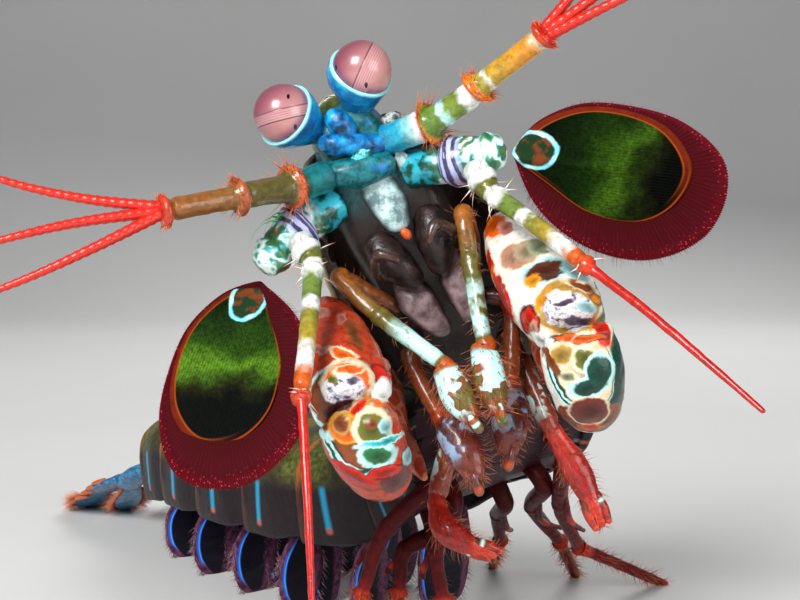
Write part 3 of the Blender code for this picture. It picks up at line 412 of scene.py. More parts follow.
def bristles(name, plants, form, slot, label, root, tip, roughness=0.4, coat_weight=0.2):
    """A coat of bristles, from one colour at their roots to another at their tips."""

    def paint(tree):
        return tree.ramp(tree.mark("along"), ((0.1, root), (0.9, tip))), None

    coat(name, plants, form, finish(label, paint, roughness, coat_weight))


def plants_on(limb, span, count, length, radius, seed, lean, angles=(0.0, 2 * math.pi), spread=0.25):
    """Bristles set at random over part of a limb, leaning towards its far end."""
    draw = random.Random(seed)
    plants = []
    for _ in range(count):
        s = draw.uniform(*span)
        angle = draw.uniform(*angles)
        root, out, ahead = limb.surface(s, angle, -0.08)
        stray = Vector([draw.gauss(0, spread) for _ in range(3)])
        way = out + ahead * lean + stray
        size = length * draw.uniform(0.6, 1.15)
        bend = ahead * draw.uniform(0.0, 0.25) + stray * 0.3
        u, v = angle / (2 * math.pi), s / limb.length
        plants.append((root, way, ahead, size, radius * draw.uniform(0.8, 1.2), bend, u, v))
    return plants


# Finishes


class Tree:
    """Adds nodes to a shader tree and joins them up."""

    def __init__(self, tree):
        self.tree = tree
        self.cache = {}

    def add(self, kind, inputs=(), **settings):
        made = self.tree.nodes.new(kind)
        for key, value in settings.items():
            setattr(made, key, value)
        for key, value in dict(inputs).items():
            if isinstance(value, bpy.types.NodeSocket):
                self.tree.links.new(value, made.inputs[key])
            elif made.inputs[key].type == "RGBA":
                made.inputs[key].default_value = (*value, 1.0)
            else:
                made.inputs[key].default_value = value
        return made

    def place(self):
        """Object coordinates in millimetres."""
        if "place" not in self.cache:
            source = self.add("ShaderNodeTexCoord").outputs["Object"]
            self.cache["place"] = self.vector("SCALE", source, scale=1 / MM)
        return self.cache["place"]

    def mark(self, name):
        """A vertex value of the piece, such as how far along it lies."""
        if name not in self.cache:
            self.cache[name] = self.add("ShaderNodeAttribute", attribute_name=name).outputs["Fac"]
        return self.cache[name]

    def maths(self, operation, first, second=0.0, third=0.0):
        return self.add("ShaderNodeMath", {0: first, 1: second, 2: third}, operation=operation).outputs[0]

    def times(self, first, second, plus=0.0):
        """first times second, and plus added to it."""
        return self.maths("MULTIPLY_ADD", first, second, plus)

    def vector(self, operation, first, second=(0.0, 0.0, 0.0), scale=1.0):
        """A vector, or a number where the operation is a length or a dot product."""
        inputs = {0: first, 1: second, 3: scale}
        made = self.add("ShaderNodeVectorMath", inputs, operation=operation)
        return made.outputs["Value" if operation in ("LENGTH", "DOT_PRODUCT") else "Vector"]

    def step(self, value, low, high):
        """0 below low and 1 above high, or the other way round where low is the higher."""
        if low > high:
            return self.maths("SUBTRACT", 1.0, self.step(value, high, low))
        inputs = {"Value": value, "From Min": low, "From Max": high}
        return self.add("ShaderNodeMapRange", inputs, interpolation_type="SMOOTHSTEP").outputs[0]

    def bump_of(self, value, centre, half, soft):
        """1 within half of centre and 0 past it, with a soft edge."""
        apart = self.maths("ABSOLUTE", self.maths("SUBTRACT", value, centre))
        return self.step(apart, half + soft, half - soft)

    def blend(self, factor, first, second, kind="MIX"):
        """A mix of two colours, or the first one multiplied by the second."""
        inputs = {0: factor, 6: first, 7: second}
        return self.add("ShaderNodeMix", inputs, data_type="RGBA", blend_type=kind).outputs[2]

    def ramp(self, value, stops):
        """Colours that follow a value, from stops of (value, colour)."""
        made = self.add("ShaderNodeValToRGB", {"Fac": value})
        elements = made.color_ramp.elements
        while len(elements) < len(stops):
            elements.new(0.5)
        for element, (position, colour) in zip(elements, stops):
            element.position = position
            element.color = (*colour, 1.0)
        return made.outputs["Color"]

    def noise(self, scale, detail=3.0, where=None, rough=0.5):
        inputs = {"Vector": where or self.place(), "Scale": scale, "Detail": detail, "Roughness": rough}
        return self.add("ShaderNodeTexNoise", inputs).outputs["Fac"]

    def warped(self, amount, scale=0.4):
        """Object coordinates pushed about by a slow noise."""
        inputs = {"Vector": self.place(), "Scale": scale, "Detail": 2.0}
        cloud = self.add("ShaderNodeTexNoise", inputs).outputs["Color"]
        return self.vector("ADD", self.place(), self.vector("SCALE", cloud, scale=amount))

    def cells(self, scale, where=None, feature="F1", spread=1.0):
        inputs = {"Vector": where or self.place(), "Scale": scale, "Randomness": spread}
        return self.add("ShaderNodeTexVoronoi", inputs, feature=feature)

    def daub(self, colour, marks):
        """Lays painted ovals over a colour, each with its own rim or with stripes inside it."""
        where = self.warped(0.9, 0.9)
        for x, y, z, half_width, half_height, tilt, _, fill, *rim in marks:
            inputs = {
                "Vector": where,
                "Location": floor_place(x, y, z),
                "Rotation": (0.0, -math.radians(tilt), 0.0),
                "Scale": (half_width, MARK_DEPTH, half_height),
            }
            local = self.add("ShaderNodeMapping", inputs, vector_type="TEXTURE").outputs[0]
            far = self.vector("LENGTH", local)
            mean = math.sqrt(half_width * half_height)
            soft = MARK_SOFTNESS / mean
            if rim:
                edge = 1.0 + rim[1] / mean
                colour = self.blend(self.step(far, edge + soft, edge - soft), colour, rim[0])
            elif fill in (RED, ORANGE):
                glow = self.times(self.step(far, 1.0 + MARK_GLOW / mean, 1.0), 0.45)
                colour = self.blend(glow, colour, AMBER)
            if fill == STRIPES:
                waves = self.maths("SINE", self.times(far, STRIPE_RATE))
                fill = self.blend(self.step(waves, -0.5, 0.5), TEAL, CYAN_WHITE)
            elif fill == STONE:
                fill = self.ramp(self.noise(0.9, 4.0, where, 0.65), STONE_STOPS)
            else:
                deep = tuple(value * 0.45 for value in fill)
                fill = self.blend(self.step(far, 0.1, 0.95), deep, fill)
            colour = self.blend(self.step(far, 1.0 + soft, 1.0 - soft), colour, fill)
        return colour

    def agate(self, scale, stops):
        """Nested outlines of colours that follow a slow warped noise."""
        return self.ramp(self.noise(scale, 2.0, self.warped(2.0, 0.5)), stops)


def cuticle_grain():
    """The node group of all hard cuticle: its fine relief, and a mottle for the colours."""
    if "cuticle grain" in bpy.data.node_groups:
        return bpy.data.node_groups["cuticle grain"]
    made = bpy.data.node_groups.new("cuticle grain", "ShaderNodeTree")
    socket = made.interface.new_socket("Fineness", in_out="INPUT", socket_type="NodeSocketFloat")
    socket.default_value = 6.0
    for label in ("Height", "Mottle"):
        made.interface.new_socket(label, in_out="OUTPUT", socket_type="NodeSocketFloat")
    tree = Tree(made)
    fineness = tree.add("NodeGroupInput").outputs["Fineness"]
    pits = tree.step(tree.cells(fineness).outputs["Distance"], 0.05, 0.3)
    height = tree.times(tree.noise(fineness, 4.0), 0.5, tree.times(pits, 0.3))
    height = tree.times(tree.noise(0.9, 2.0), 0.8, height)
    tree.add("NodeGroupOutput", {"Height": height, "Mottle": tree.noise(1.3, 4.0, rough=0.65)})
    return made


def relief_of(tree, fineness=5.0):
    """The outputs of the cuticle's grain, of the given fineness."""
    return tree.add("ShaderNodeGroup", {"Fineness": fineness}, node_tree=cuticle_grain()).outputs


def mottled(tree, grain, dark, light, low=0.3, high=0.7):
    """Two colours in patches that follow the grain's mottle."""
    return tree.blend(tree.step(grain["Mottle"], low, high), dark, light)


def finish(name, paint, roughness=0.35, coat_weight=0.3, relief=0.35, **sockets):
    """A Principled material. paint(tree) gives its colour, and the height of its relief or None."""
    if name in bpy.data.materials:
        return bpy.data.materials[name]
    made = bpy.data.materials.new(name)
    made.use_nodes = True
    tree = Tree(made.node_tree)
    shader = made.node_tree.nodes["Principled BSDF"]
    colour, height = paint(tree)
    made.node_tree.links.new(colour, shader.inputs["Base Color"])
    if height is not None:
        inputs = {"Height": height, "Strength": relief, "Distance": BUMP_HEIGHT * MM}
        bump = tree.add("ShaderNodeBump", inputs)
        made.node_tree.links.new(bump.outputs[0], shader.inputs["Normal"])
    shader.inputs["Roughness"].default_value = roughness
    shader.inputs["Specular IOR Level"].default_value = 0.3
    shader.inputs["Coat Weight"].default_value = coat_weight
    shader.inputs["Coat Roughness"].default_value = 0.12
    for key, value in sockets.items():
        shader.inputs[key.replace("_", " ")].default_value = value
    return made


WHITE = (0.86, 0.88, 0.84)
CREAM = (0.8, 0.66, 0.44)
CYAN_WHITE = (0.5, 0.84, 0.82)
ICE = (0.33, 0.62, 0.64)
CYAN = (0.06, 0.5, 0.55)
TEAL = (0.004, 0.055, 0.036)
GREEN = (0.02, 0.16, 0.05)
OLIVE = (0.13, 0.14, 0.015)
SAGE = (0.25, 0.28, 0.16)
GOLD = (0.46, 0.27, 0.05)
AMBER = (0.8, 0.3, 0.01)
ORANGE = (0.76, 0.11, 0.006)
RED = (0.58, 0.012, 0.004)
ROSE = (0.58, 0.2, 0.15)
TAN = (0.5, 0.25, 0.16)
BROWN = (0.22, 0.055, 0.013)
MAROON = (0.055, 0.007, 0.008)
PLUM = (0.1, 0.06, 0.1)
STONE = (0.5, 0.5, 0.62)
LAVENDER = (0.4, 0.45, 0.72)
STONE_STOPS = ((0.36, PLUM), (0.44, STONE), (0.52, WHITE), (0.6, STONE), (0.7, BROWN))
STRIPES = "stripes"


def chosen(name):
    """A colour as it is set in the panel."""
    return tuple(getattr(bpy.context.scene.mantis_colours, name))


# The eyes: the root of each stalk on the head, and the place of its cornea

EYES = {
    1: ((0.6, 1.5, -0.4), (-4.2, -3.2, 69.1)),
    -1: ((0.6, -2.0, -0.6), (-12.4, -3.4, 64.5)),
}
# The midband of each cornea: its tilt from level, where its two lines lie, and the dark flecks
MIDBANDS = {
    1: (66.0, (0.0, 0.45), ((-0.8, 0.07), (0.19, -0.5))),
    -1: (14.0, (-0.22, 0.13), ((0.18, 0.52), (0.4, -0.44))),
}
# Which way each cornea looks out of its cup
GAZES = {1: (0.4, -0.66, 0.64), -1: (-0.6, -0.7, 0.4)}


def cornea_finish(side, centre, radius):
    tilt, (low, high), flecks = MIDBANDS[side]
    tilt = math.radians(tilt)
    across = Vector((math.sin(tilt), 0.0, -math.cos(tilt))) * side

    def paint(tree):
        local = tree.vector("SUBTRACT", tree.place(), centre)
        flat = tree.vector("DOT_PRODUCT", local, across / radius)
        # Painted light: each cornea is painted paler at its lower right and darker at its upper left
        light = tree.vector("DOT_PRODUCT", local, Vector((0.6, -0.35, -0.5)) / radius)
        pink = tree.blend(tree.step(light, -0.5, 0.9), (0.21, 0.055, 0.085), chosen("cornea"))
        pink = tree.blend(tree.step(tree.mark("along"), 0.55, 0.95), pink, (0.14, 0.04, 0.11))
        inside = tree.step(flat, low - 0.02, low + 0.02)
        inside = tree.times(inside, tree.step(flat, high + 0.06, high - 0.02))
        band = tree.blend(tree.times(inside, 0.3), pink, (0.62, 0.36, 0.36))
        rows = tree.step(tree.maths("SINE", tree.times(flat, 85.0)), 0.0, 1.0)
        rows = tree.times(rows, tree.times(inside, 0.4, 0.04))
        band = tree.blend(rows, band, (0.2, 0.05, 0.09))
        lines = tree.bump_of(flat, low, 0.018, 0.014)
        if side < 0:
            lines = tree.maths("MAXIMUM", lines, tree.bump_of(flat, high, 0.016, 0.014))
        band = tree.blend(tree.times(lines, 0.85), band, (0.05, 0.008, 0.03))
        for x, z in flecks:
            depth = -math.sqrt(max(1 - x * x - z * z, 0.02))
            apart = tree.vector("SUBTRACT", local, Vector((x, depth, z)) * radius)
            far = tree.vector("LENGTH", tree.vector("MULTIPLY", apart, (1.9, 1.0, 1.0)))
            band = tree.blend(tree.step(far, 0.42, 0.26), band, (0.01, 0.006, 0.012))
        facets = tree.cells(9.0, spread=0.25).outputs["Distance"]
        return band, tree.times(lines, -1.2, tree.times(facets, 0.2))

    return finish(f"cornea {side_name(side)}", paint, 0.25, 0.6, 0.2)


def stalk_paint(tree):
    """Mottled azure, paler at the cup's lip and dull on the neck."""
    grain = relief_of(tree, 3.0)
    stops = ((0.3, (0.003, 0.06, 0.2)), (0.5, chosen("stalk")), (0.68, (0.02, 0.38, 0.62)))
    colour = tree.ramp(tree.noise(0.45, 3.0, rough=0.6), stops)
    colour = tree.blend(tree.step(grain["Mottle"], 0.62, 0.72), colour, (0.1, 0.5, 0.62))
    colour = tree.blend(tree.step(tree.mark("part"), 0.88, 0.99), colour, (0.3, 0.74, 0.78))
    neck = tree.bump_of(tree.mark("along"), 0.3, 0.12, 0.1)
    colour = tree.blend(tree.times(neck, 0.7), colour, (0.1, 0.22, 0.14))
    return colour, grain["Height"]


def build_eyes(radius):
    for side, (root, centre) in EYES.items():
        name = side_name(side)
        centre = floor_place(*centre)
        base = head(*root)
        axis = (centre - base).normalized()
        gaze = Vector(GAZES[side]).normalized()
        low = centre - axis * (radius * 0.75)
        rows = [
            (base - axis * 1.5, 1.9, 1.7),
            (base + axis * 0.4, 2.2, 2.0),
            (base.lerp(low, 0.4), 1.7, 1.6),
            (base.lerp(low, 0.62), 1.75, 1.7),
            (base.lerp(low, 0.9), 2.5, 2.5),
            (low + axis * 1.0, 2.7, 2.7),
        ]
        stalk = collared(Limb(rows, HEAD_LEFT), (3,), 0.22)
        skin = limb_skin(stalk, 56, 0.22, (0.8, 0.8))
        cup = lump(skin, Vector(), (1, 1, 1), Matrix.Identity(3), segments=72, rings=48)
        for vert in cup:
            vert[skin.part] = ease(vert.co.z, -0.45, 0.1)
        size = radius * 1.085
        grow = Matrix.Diagonal((size, size, size, 1.0))
        move = Matrix.Translation(centre - gaze * 0.25) @ facing(gaze).to_4x4() @ grow
        bmesh.ops.transform(skin.bm, matrix=move, verts=cup)
        lip = centre + gaze * (radius * 0.02)
        faces = {face for vert in cup for face in vert.link_faces}
        edges = {edge for vert in cup for edge in vert.link_edges}
        cut = [*cup, *edges, *faces]
        bmesh.ops.bisect_plane(skin.bm, geom=cut, dist=1e-4, plane_co=lip, plane_no=gaze, clear_outer=True)
        material = finish("eye stalk cuticle", stalk_paint, 0.35, 0.4)
        complete(f"eye_stalk_{name}", skin, (2.0, 0.1, side), material)
        globe = Skin()
        made = lump(globe, Vector(), (1, 1, 1), Matrix.Identity(3), segments=96, rings=64)
        for vert in made:
            vert[globe.along] = (1 - vert.co.z) / 1.1
        grow = Matrix.Diagonal((radius, radius, radius * 1.06, 1.0))
        move = Matrix.Translation(centre) @ facing(gaze).to_4x4() @ grow
        bmesh.ops.transform(globe.bm, matrix=move, verts=made)
        globe.close()
        node = f"cornea_{name}"
        finish_piece(node, globe, cornea_finish(side, centre, radius), [node])


# The head, with the mouth on its underside

# Its sections: how far behind the eye stalks, half width, roof, sternum, and the belly's share
HEAD_SECTIONS = (
    (-2.6, 4.0, 2.6, 1.4, 0.5), (-1.6, 5.0, 3.6, 2.6, 0.6), (1.5, 6.2, 4.0, 3.6, 0.62),
    (4.0, 8.0, 5.2, 4.2, 0.62), (10.0, 9.8, 6.4, 5.4, 0.6), (18.0, 11.3, 7.0, 6.0, 0.52),
    (26.0, 12.6, 7.3, 6.0, 0.5), (32.4, 12.9, 6.9, 5.6, 0.62),
)
# The azure of the head's rolls, laid by a warped noise; its darkest stops paint shade in patches
AZURE_STOPS = (
    (0.34, (0.001, 0.02, 0.05)), (0.46, (0.002, 0.1, 0.28)), (0.58, (0.004, 0.19, 0.48)),
    (0.72, (0.01, 0.36, 0.6)),
)
# The blue rolls between the eye stalks and the plate under them, each with its part number
HEAD_ROLLS = (
    ((3.6, -0.3, -2.3, 0.9), (2.2, -0.2, -2.9, 1.35), (0.6, 0.0, -3.3, 1.3), (-0.4, 0.6, -3.5, 0.9), 4.0),
    (
        (1.4, -3.2, -3.2, 0.8), (0.5, -1.8, -4.0, 1.15), (-0.8, 0.4, -4.3, 1.2), (-2.0, 2.6, -4.2, 1.1),
        (-2.6, 4.0, -3.8, 0.7),
        4.0,
    ),
    ((-1.6, -4.4, -4.2, 1.1), (-2.8, -2.2, -4.9, 1.7), (-3.6, 0.4, -5.0, 1.7), (-4.2, 3.0, -4.6, 1.3), 0.0),
)
# Small lobes at the roots of the feelers: centre, radii and part number
HEAD_LOBES = (
    ((-1.8, 0.2, -5.2), (1.4, 0.6, 0.8), 6.0), ((-0.7, 5.0, -3.4), (1.2, 0.6, 0.9), 5.0),
    ((-4.8, 3.8, -4.8), (0.9, 0.5, 1.3), 1.0), ((-2.2, -5.4, -5.0), (1.3, 0.8, 1.2), 4.0),
)
EPISTOME = (
    (-4.0, 0, -2.0, 2.0, 1.2), (-6.2, 0, -4.2, 2.2, 1.6), (-8.8, 0, -5.8, 2.0, 1.6),
    (-10.9, 0, -7.2, 1.1, 0.9),
)
JAW = (
    (-11.0, 3.2, -4.6, 1.6, 1.6), (-13.0, 2.9, -6.6, 2.2, 1.8), (-15.5, 1.9, -7.6, 1.6, 1.5),
    (-17.0, 1.2, -7.2, 0.9, 0.9),
)
MOUTH_PETAL = (
    (-16.5, 2.8, -5.0, 1.5, 0.9), (-19.0, 2.6, -7.4, 2.0, 0.9), (-22.0, 2.0, -8.2, 1.5, 0.7),
    (-24.0, 1.4, -8.0, 0.7, 0.5),
)


def smooth_rows(rows, steps):
    """The rows of a table with smooth steps between them."""
    rows = [np.array(row, float) for row in rows]
    made = []
    for k in range(len(rows) - 1):
        before, after = rows[max(k - 1, 0)], rows[min(k + 2, len(rows) - 1)]
        made += [between(before, rows[k], rows[k + 1], after, i / steps) for i in range(steps)]
    return made + [rows[-1]]


def closed_curve(points, count):
    """Points on a smooth closed curve through the given ones."""
    rows = [np.array(p, float) for p in points]
    total = len(rows)
    made = []
    for i in range(count):
        k, t = divmod(i * total / count, 1)
        made.append(between(*(rows[(int(k) + j) % total] for j in (-1, 0, 1, 2)), t))
    return made


def head_section(half_width, roof, sternum, share):
    """The outline of the forebody: its back follows the shell and its belly is narrower."""
    inner = 1.35
    outline = []
    for i in range(11):
        t = math.radians(22) + math.radians(136) * i / 10
        x = rounded(math.cos(t), 0.85) * (half_width - inner)
        outline.append((x, rounded(math.sin(t), 0.9) * (roof - inner)))
    low = half_width * share
    for x, y in ((-1.12, 0.0), (-1.0, -0.75), (-0.55, -1.0), (0.55, -1.0), (1.0, -0.75), (1.12, 0.0)):
        outline.append((low * x, sternum * y))
    return outline


def head_paint(tree):
    """Dark teal with painted shade that blackens it behind the eyes, and a colour for each part of the
    mouth.
    """
    grain = relief_of(tree, 4.0)
    ahead, part = tree.mark("along"), tree.mark("part")
    colour = mottled(tree, grain, (0.002, 0.04, 0.045), (0.008, 0.19, 0.22))
    blue = tree.times(tree.step(tree.noise(0.35, 2.0), 0.55, 0.7), tree.step(ahead, 6.0, 1.0))
    colour = tree.blend(blue, colour, (0.003, 0.17, 0.46))
    # Painted shade: from 3 to 9 mm behind the eye stalks the head turns near-black, the mouth region in
    # shade
    colour = tree.blend(tree.step(ahead, 3.0, 9.0), colour, (0.016, 0.009, 0.007))
    rough = tree.step(tree.noise(1.6, 4.0, rough=0.7), 0.4, 0.6)
    cloud = tree.step(tree.noise(0.5, 4.0, rough=0.7), 0.35, 0.62)
    # Painted shade: the pale plate and the mouth petals darken towards their outline as seen from the front
    edge = tree.step(tree.maths("ABSOLUTE", tree.mark("side")), 0.55, 1.0)
    pale = tree.blend(cloud, (0.1, 0.17, 0.18), (0.5, 0.68, 0.68))
    petal = tree.step(tree.noise(0.9, 4.0), 0.3, 0.7)
    petal = tree.blend(petal, (0.1, 0.06, 0.06), (0.32, 0.22, 0.23))
    # Painted shade: the jaws are painted near-black
    shaded_jaw = tree.step(tree.noise(0.7, 3.0), 0.3, 0.7)
    fills = (
        (1.0, tree.blend(edge, pale, (0.035, 0.05, 0.05))),
        (2.0, (0.62, 0.1, 0.02)),
        (7.0, tree.blend(edge, petal, (0.03, 0.014, 0.014))),
        (3.0, tree.blend(shaded_jaw, (0.005, 0.003, 0.003), (0.03, 0.015, 0.013))),
        (4.0, tree.agate(0.75, AZURE_STOPS)),
        (6.0, tree.blend(rough, TEAL, (0.12, 0.62, 0.66))),
        (5.0, tree.blend(rough, (0.05, 0.07, 0.07), (0.4, 0.44, 0.42))),
    )
    for number, fill in fills:
        colour = tree.blend(tree.bump_of(part, number, 0.3, 0.1), colour, fill)
    return colour, grain["Height"]


def build_head():
    skin = Skin()
    rings, marks = [], []
    for row in smooth_rows(HEAD_SECTIONS, 7):
        outline = closed_curve(head_section(*row[1:]), 72)
        rings.append([(on_body(row[0], x, y), x / 12, y / 7) for x, y in outline])
        marks.append(row[0])
    skin.loft(rings, marks)
    for *rows, part in HEAD_ROLLS:
        limb_skin(forebody_limb(rows, HEAD_UP), 32, 0.3, (0.8, 0.8), skin, part)
    for place, radii, part in HEAD_LOBES:
        centre = head(*place)
        for vert in lump(skin, centre, radii, facing(HEAD_FORWARD), part, 40, 28):
            vert.co += (vert.co - centre) * (0.3 * noise.fractal(vert.co / 1.5, 0.8, 2.0, 3))
    limb_skin(forebody_limb(EPISTOME), 32, 0.3, (0.6, 0.7), skin, 1.0)
    lump(skin, head(-11.2, 0.1, -7.6), (0.55, 0.5, 0.8), facing(HEAD_FORWARD), 2.0, 16, 10)
    for side in (1, -1):
        for part, rows in ((3.0, JAW), (7.0, MOUTH_PETAL)):
            rows = [(forward, left * side, *rest) for forward, left, *rest in rows]
            limb_skin(forebody_limb(rows), 24, 0.35, (0.5, 0.6), skin, part)
    complete("head", skin, (2.4, 0.16), finish("head cuticle", head_paint, 0.35, 0.15))


# The carapace and the plates of the trunk

CARAPACE_WALL = 0.9
# How far behind the eye stalks, half width and roof
CARAPACE_SECTIONS = (
    (1.5, 6.2, 4.0), (4.0, 8.0, 5.2), (10.0, 9.8, 6.4), (18.0, 11.3, 7.0), (26.0, 12.6, 7.3),
    (32.7, 12.9, 6.9),
)
CARAPACE_DROP = 2.0


def shell_paint(tree):
    """Olive above, sandy flanks with leopard spots, and an orange rear edge."""
    grain = relief_of(tree)
    colour = mottled(tree, grain, (0.05, 0.075, 0.015), chosen("back"))
    flank = tree.step(tree.maths("ABSOLUTE", tree.mark("side")), 0.72, 0.95)
    colour = tree.blend(flank, colour, (0.62, 0.5, 0.34))
    spot_cells = tree.cells(0.36, tree.warped(1.0)).outputs["Distance"]
    spots = tree.times(tree.step(spot_cells, 0.42, 0.34), flank)
    ring = tree.times(tree.bump_of(spot_cells, 0.44, 0.03, 0.04), flank)
    colour = tree.blend(ring, colour, WHITE)
    colour = tree.blend(spots, colour, (0.09, 0.035, 0.015))
    rear = tree.step(tree.mark("along"), 31.6, 32.4)
    colour = tree.blend(rear, colour, (0.6, 0.14, 0.02))
    return colour, grain["Height"]


def build_carapace():
    skin = Skin()
    rings, marks = [], []
    for s, half_width, roof in smooth_rows(CARAPACE_SECTIONS, 12):
        start = -math.asin(min(CARAPACE_DROP / roof, 0.9)) * 0.8
        ring = []
        for i in range(61):
            t = start + (math.pi - 2 * start) * i / 60
            x = rounded(math.cos(t), 0.85) * half_width
            y = rounded(math.sin(t), 0.9) * roof
            groove = 0.28 * math.exp(-(((abs(x) - half_width * 0.42) / 0.55) ** 2)) * ease(s, 4.0, 9.0)
            edge = math.copysign(0.25 * ease(abs(i - 30), 26, 30), x)
            place = on_body(s, x + edge, y + CARAPACE_WALL * 0.5 - groove)
            ring.append((place, x / half_width, y / roof))
        rings.append(ring)
        marks.append(s)
    skin.loft(rings, marks, closed=False)
    bmesh.ops.recalc_face_normals(skin.bm, faces=skin.bm.faces)
    bmesh.ops.solidify(skin.bm, geom=skin.bm.faces[:], thickness=CARAPACE_WALL * 0.6)
    bmesh.ops.recalc_face_normals(skin.bm, faces=skin.bm.faces)
    finish_piece("carapace", skin, finish("carapace", shell_paint, 0.3, 0.5), ["carapace"])
    rows = ((0.9, 3.4), (-0.6, 3.5), (-2.2, 2.6), (-3.6, 1.1))
    stations = [(on_body(s, 0, 3.1 + 0.05 * s), half, 0.45) for s, half in rows]
    plate = Limb(stations, HEAD_LEFT, 2.6)
    skin = limb_skin(plate, 40, 0.25, (0.4, 0.9))
    skin.close()
    finish_piece("rostral_plate", skin, finish("carapace", shell_paint), ["rostral_plate"])


def tergite_paint(tree):
    """Olive with a dark band, flanks painted near-black as shade, with a blue bar, and an orange-red rear
    edge.
    """
    grain = relief_of(tree)
    along, side, top = tree.mark("along"), tree.mark("side"), tree.mark("top")
    colour = mottled(tree, grain, (0.035, 0.05, 0.012), (0.15, 0.15, 0.035), 0.3, 0.72)
    band = tree.bump_of(along, 0.42, 0.16, 0.12)
    colour = tree.blend(tree.times(band, 0.75), colour, (0.025, 0.02, 0.012))
    # Painted shade: the lower part of each plate's sides is painted near-black
    low = tree.step(top, 0.35, -0.15)
    black = tree.blend(grain["Mottle"], (0.003, 0.002, 0.003), (0.02, 0.011, 0.015))
    colour = tree.blend(low, colour, black)
    bar = tree.bump_of(along, 0.62, 0.035, 0.03)
    upper = tree.times(bar, tree.bump_of(top, -0.38, 0.4, 0.06))
    colour = tree.blend(upper, colour, (0.01, 0.27, 0.46))
    foot = tree.times(bar, tree.bump_of(top, -0.8, 0.05, 0.04))
    colour = tree.blend(foot, colour, (0.42, 0.1, 0.06))
    # The orange-red rear edge fades where the painted shade lies on the flanks
    rear = tree.times(tree.step(along, 0.88, 0.95), tree.times(low, -0.75, 0.85))
    colour = tree.blend(rear, colour, (0.45, 0.09, 0.02))
    colour = tree.blend(tree.mark("part"), colour, (0.03, 0.01, 0.014))
    return colour, grain["Height"]


def somite_outline(half_width, roof, sternum, flap):
    """The outline of a somite: an arched back, side flaps with rolled edges and a raised belly."""
    outline = []
    for i in range(11):
        t = math.pi * i / 10
        x = rounded(math.cos(t), 0.85) * half_width
        outline.append((x, math.sin(t) ** 0.9 * roof if 0 < i < 10 else 0.0))
    under = [(-0.995, -flap * 0.6), (-0.96, -flap), (-0.86, -flap), (-0.78, -sternum), (-0.3, -sternum)]
    under = [(share * half_width, y) for share, y in under]
    return outline + under + [(-x, y) for x, y in reversed(under)]


def build_somite(name, start, end, half_width, shape, lap, floor=False):
    """One plate of the trunk. Its rear edge is rolled and laps over the front of the next."""
    skin = Skin()
    rings, marks = [], []
    for share in np.linspace(0.0, 1.0, 27):
        s = start + (end + lap - start) * share
        spread, roof, sternum, flap = shape(min(share * (end + lap - start) / (end - start), 1.0))
        rear = ease(share, 0.86, 0.93) * 0.16 - ease(share, 0.97, 1.0) * 0.3
        tuck = 0.96 if share < 0.05 else 1.0
        outline = closed_curve(somite_outline(half_width * spread, roof, sternum, flap), 104)
        ring = []
        for x, y in outline:
            out = Vector((x, y)).normalized() if y > -flap * 0.5 else Vector((0, 0))
            point = on_body(s, x * tuck + out.x * rear, y + out.y * rear)
            ring.append((point, x / half_width, y / roof))
        rings.append(ring)
        marks.append(share)
    skin.loft(rings, marks)
    for vert in skin.bm.verts:
        belly = vert[skin.top] * ABDOMEN_ROOF < -2.0 and abs(vert[skin.side]) < 0.8
        vert[skin.part] = 1.0 if belly else 0.0
    material = finish("tergite cuticle", tergite_paint, 0.4, 0.08, Specular_IOR_Level=0.15)
    complete(name, skin, (3.0, 0.07, start), material, floor)


def build_trunk():
    for index, half_width in enumerate(THORAX_HALF_WIDTHS):
        start = CARAPACE_END + index * THORAX_STEP + 0.25

        def shape(share):
            spread = 0.955 + 0.045 * ease(share, 0.0, 0.45)
            return spread, THORAX_ROOF * spread, THORAX_STERNUM * 0.9, THORAX_STERNUM

        build_somite(f"thorax_{index + 5}", start, start + THORAX_STEP - 0.5, half_width, shape, 0.5)
    for index, half_width in enumerate(ABDOMEN_HALF_WIDTHS):
        length = ABDOMEN_STEP if index < 5 else LAST_SOMITE
        start = ABDOMEN_START + index * ABDOMEN_STEP + 0.15

        def shape(share, last=index == 5):
            spread = 0.93 + 0.07 * ease(share, 0.0, 0.55)
            if last:
                spread *= 1 - 0.1 * ease(share, 0.6, 1.0)
                roof = ABDOMEN_ROOF * spread * (1 - 0.14 * ease(share, 0.7, 1.0))
                return spread, roof, 4.2 - 1.2 * share, 5.0 - 1.5 * share
            drop = 0.7 + 0.3 * ease(share, 0.0, 0.6)
            flap = ABDOMEN_STERNUM + (ABDOMEN_FLAP - ABDOMEN_STERNUM) * drop
            return spread, ABDOMEN_ROOF * spread, ABDOMEN_STERNUM, flap

        lap = 0.8 if index < 5 else 0.0
        build_somite(f"abdomen_{index + 1}", start, start + length - 0.3, half_width, shape, lap, True)


# The feelers


def collared(limb, stations, height=0.28):
    """Gives a limb a raised ring with a groove before it at each of the stations."""
    places = [limb.station(number) for number in stations]

    def relief(s, _):
        swell = sum(math.exp(-(((s - place) / 0.5) ** 2)) for place in places)
        groove = sum(math.exp(-(((s - place + 0.85) / 0.28) ** 2)) for place in places)
        return height * (swell - 0.8 * groove)

    limb.relief = relief
    return limb


def annulated(pitch, height):
    """Relief of a whip: a fine ring every pitch."""
    return lambda s, _: height * math.sin(2 * math.pi * s / pitch)


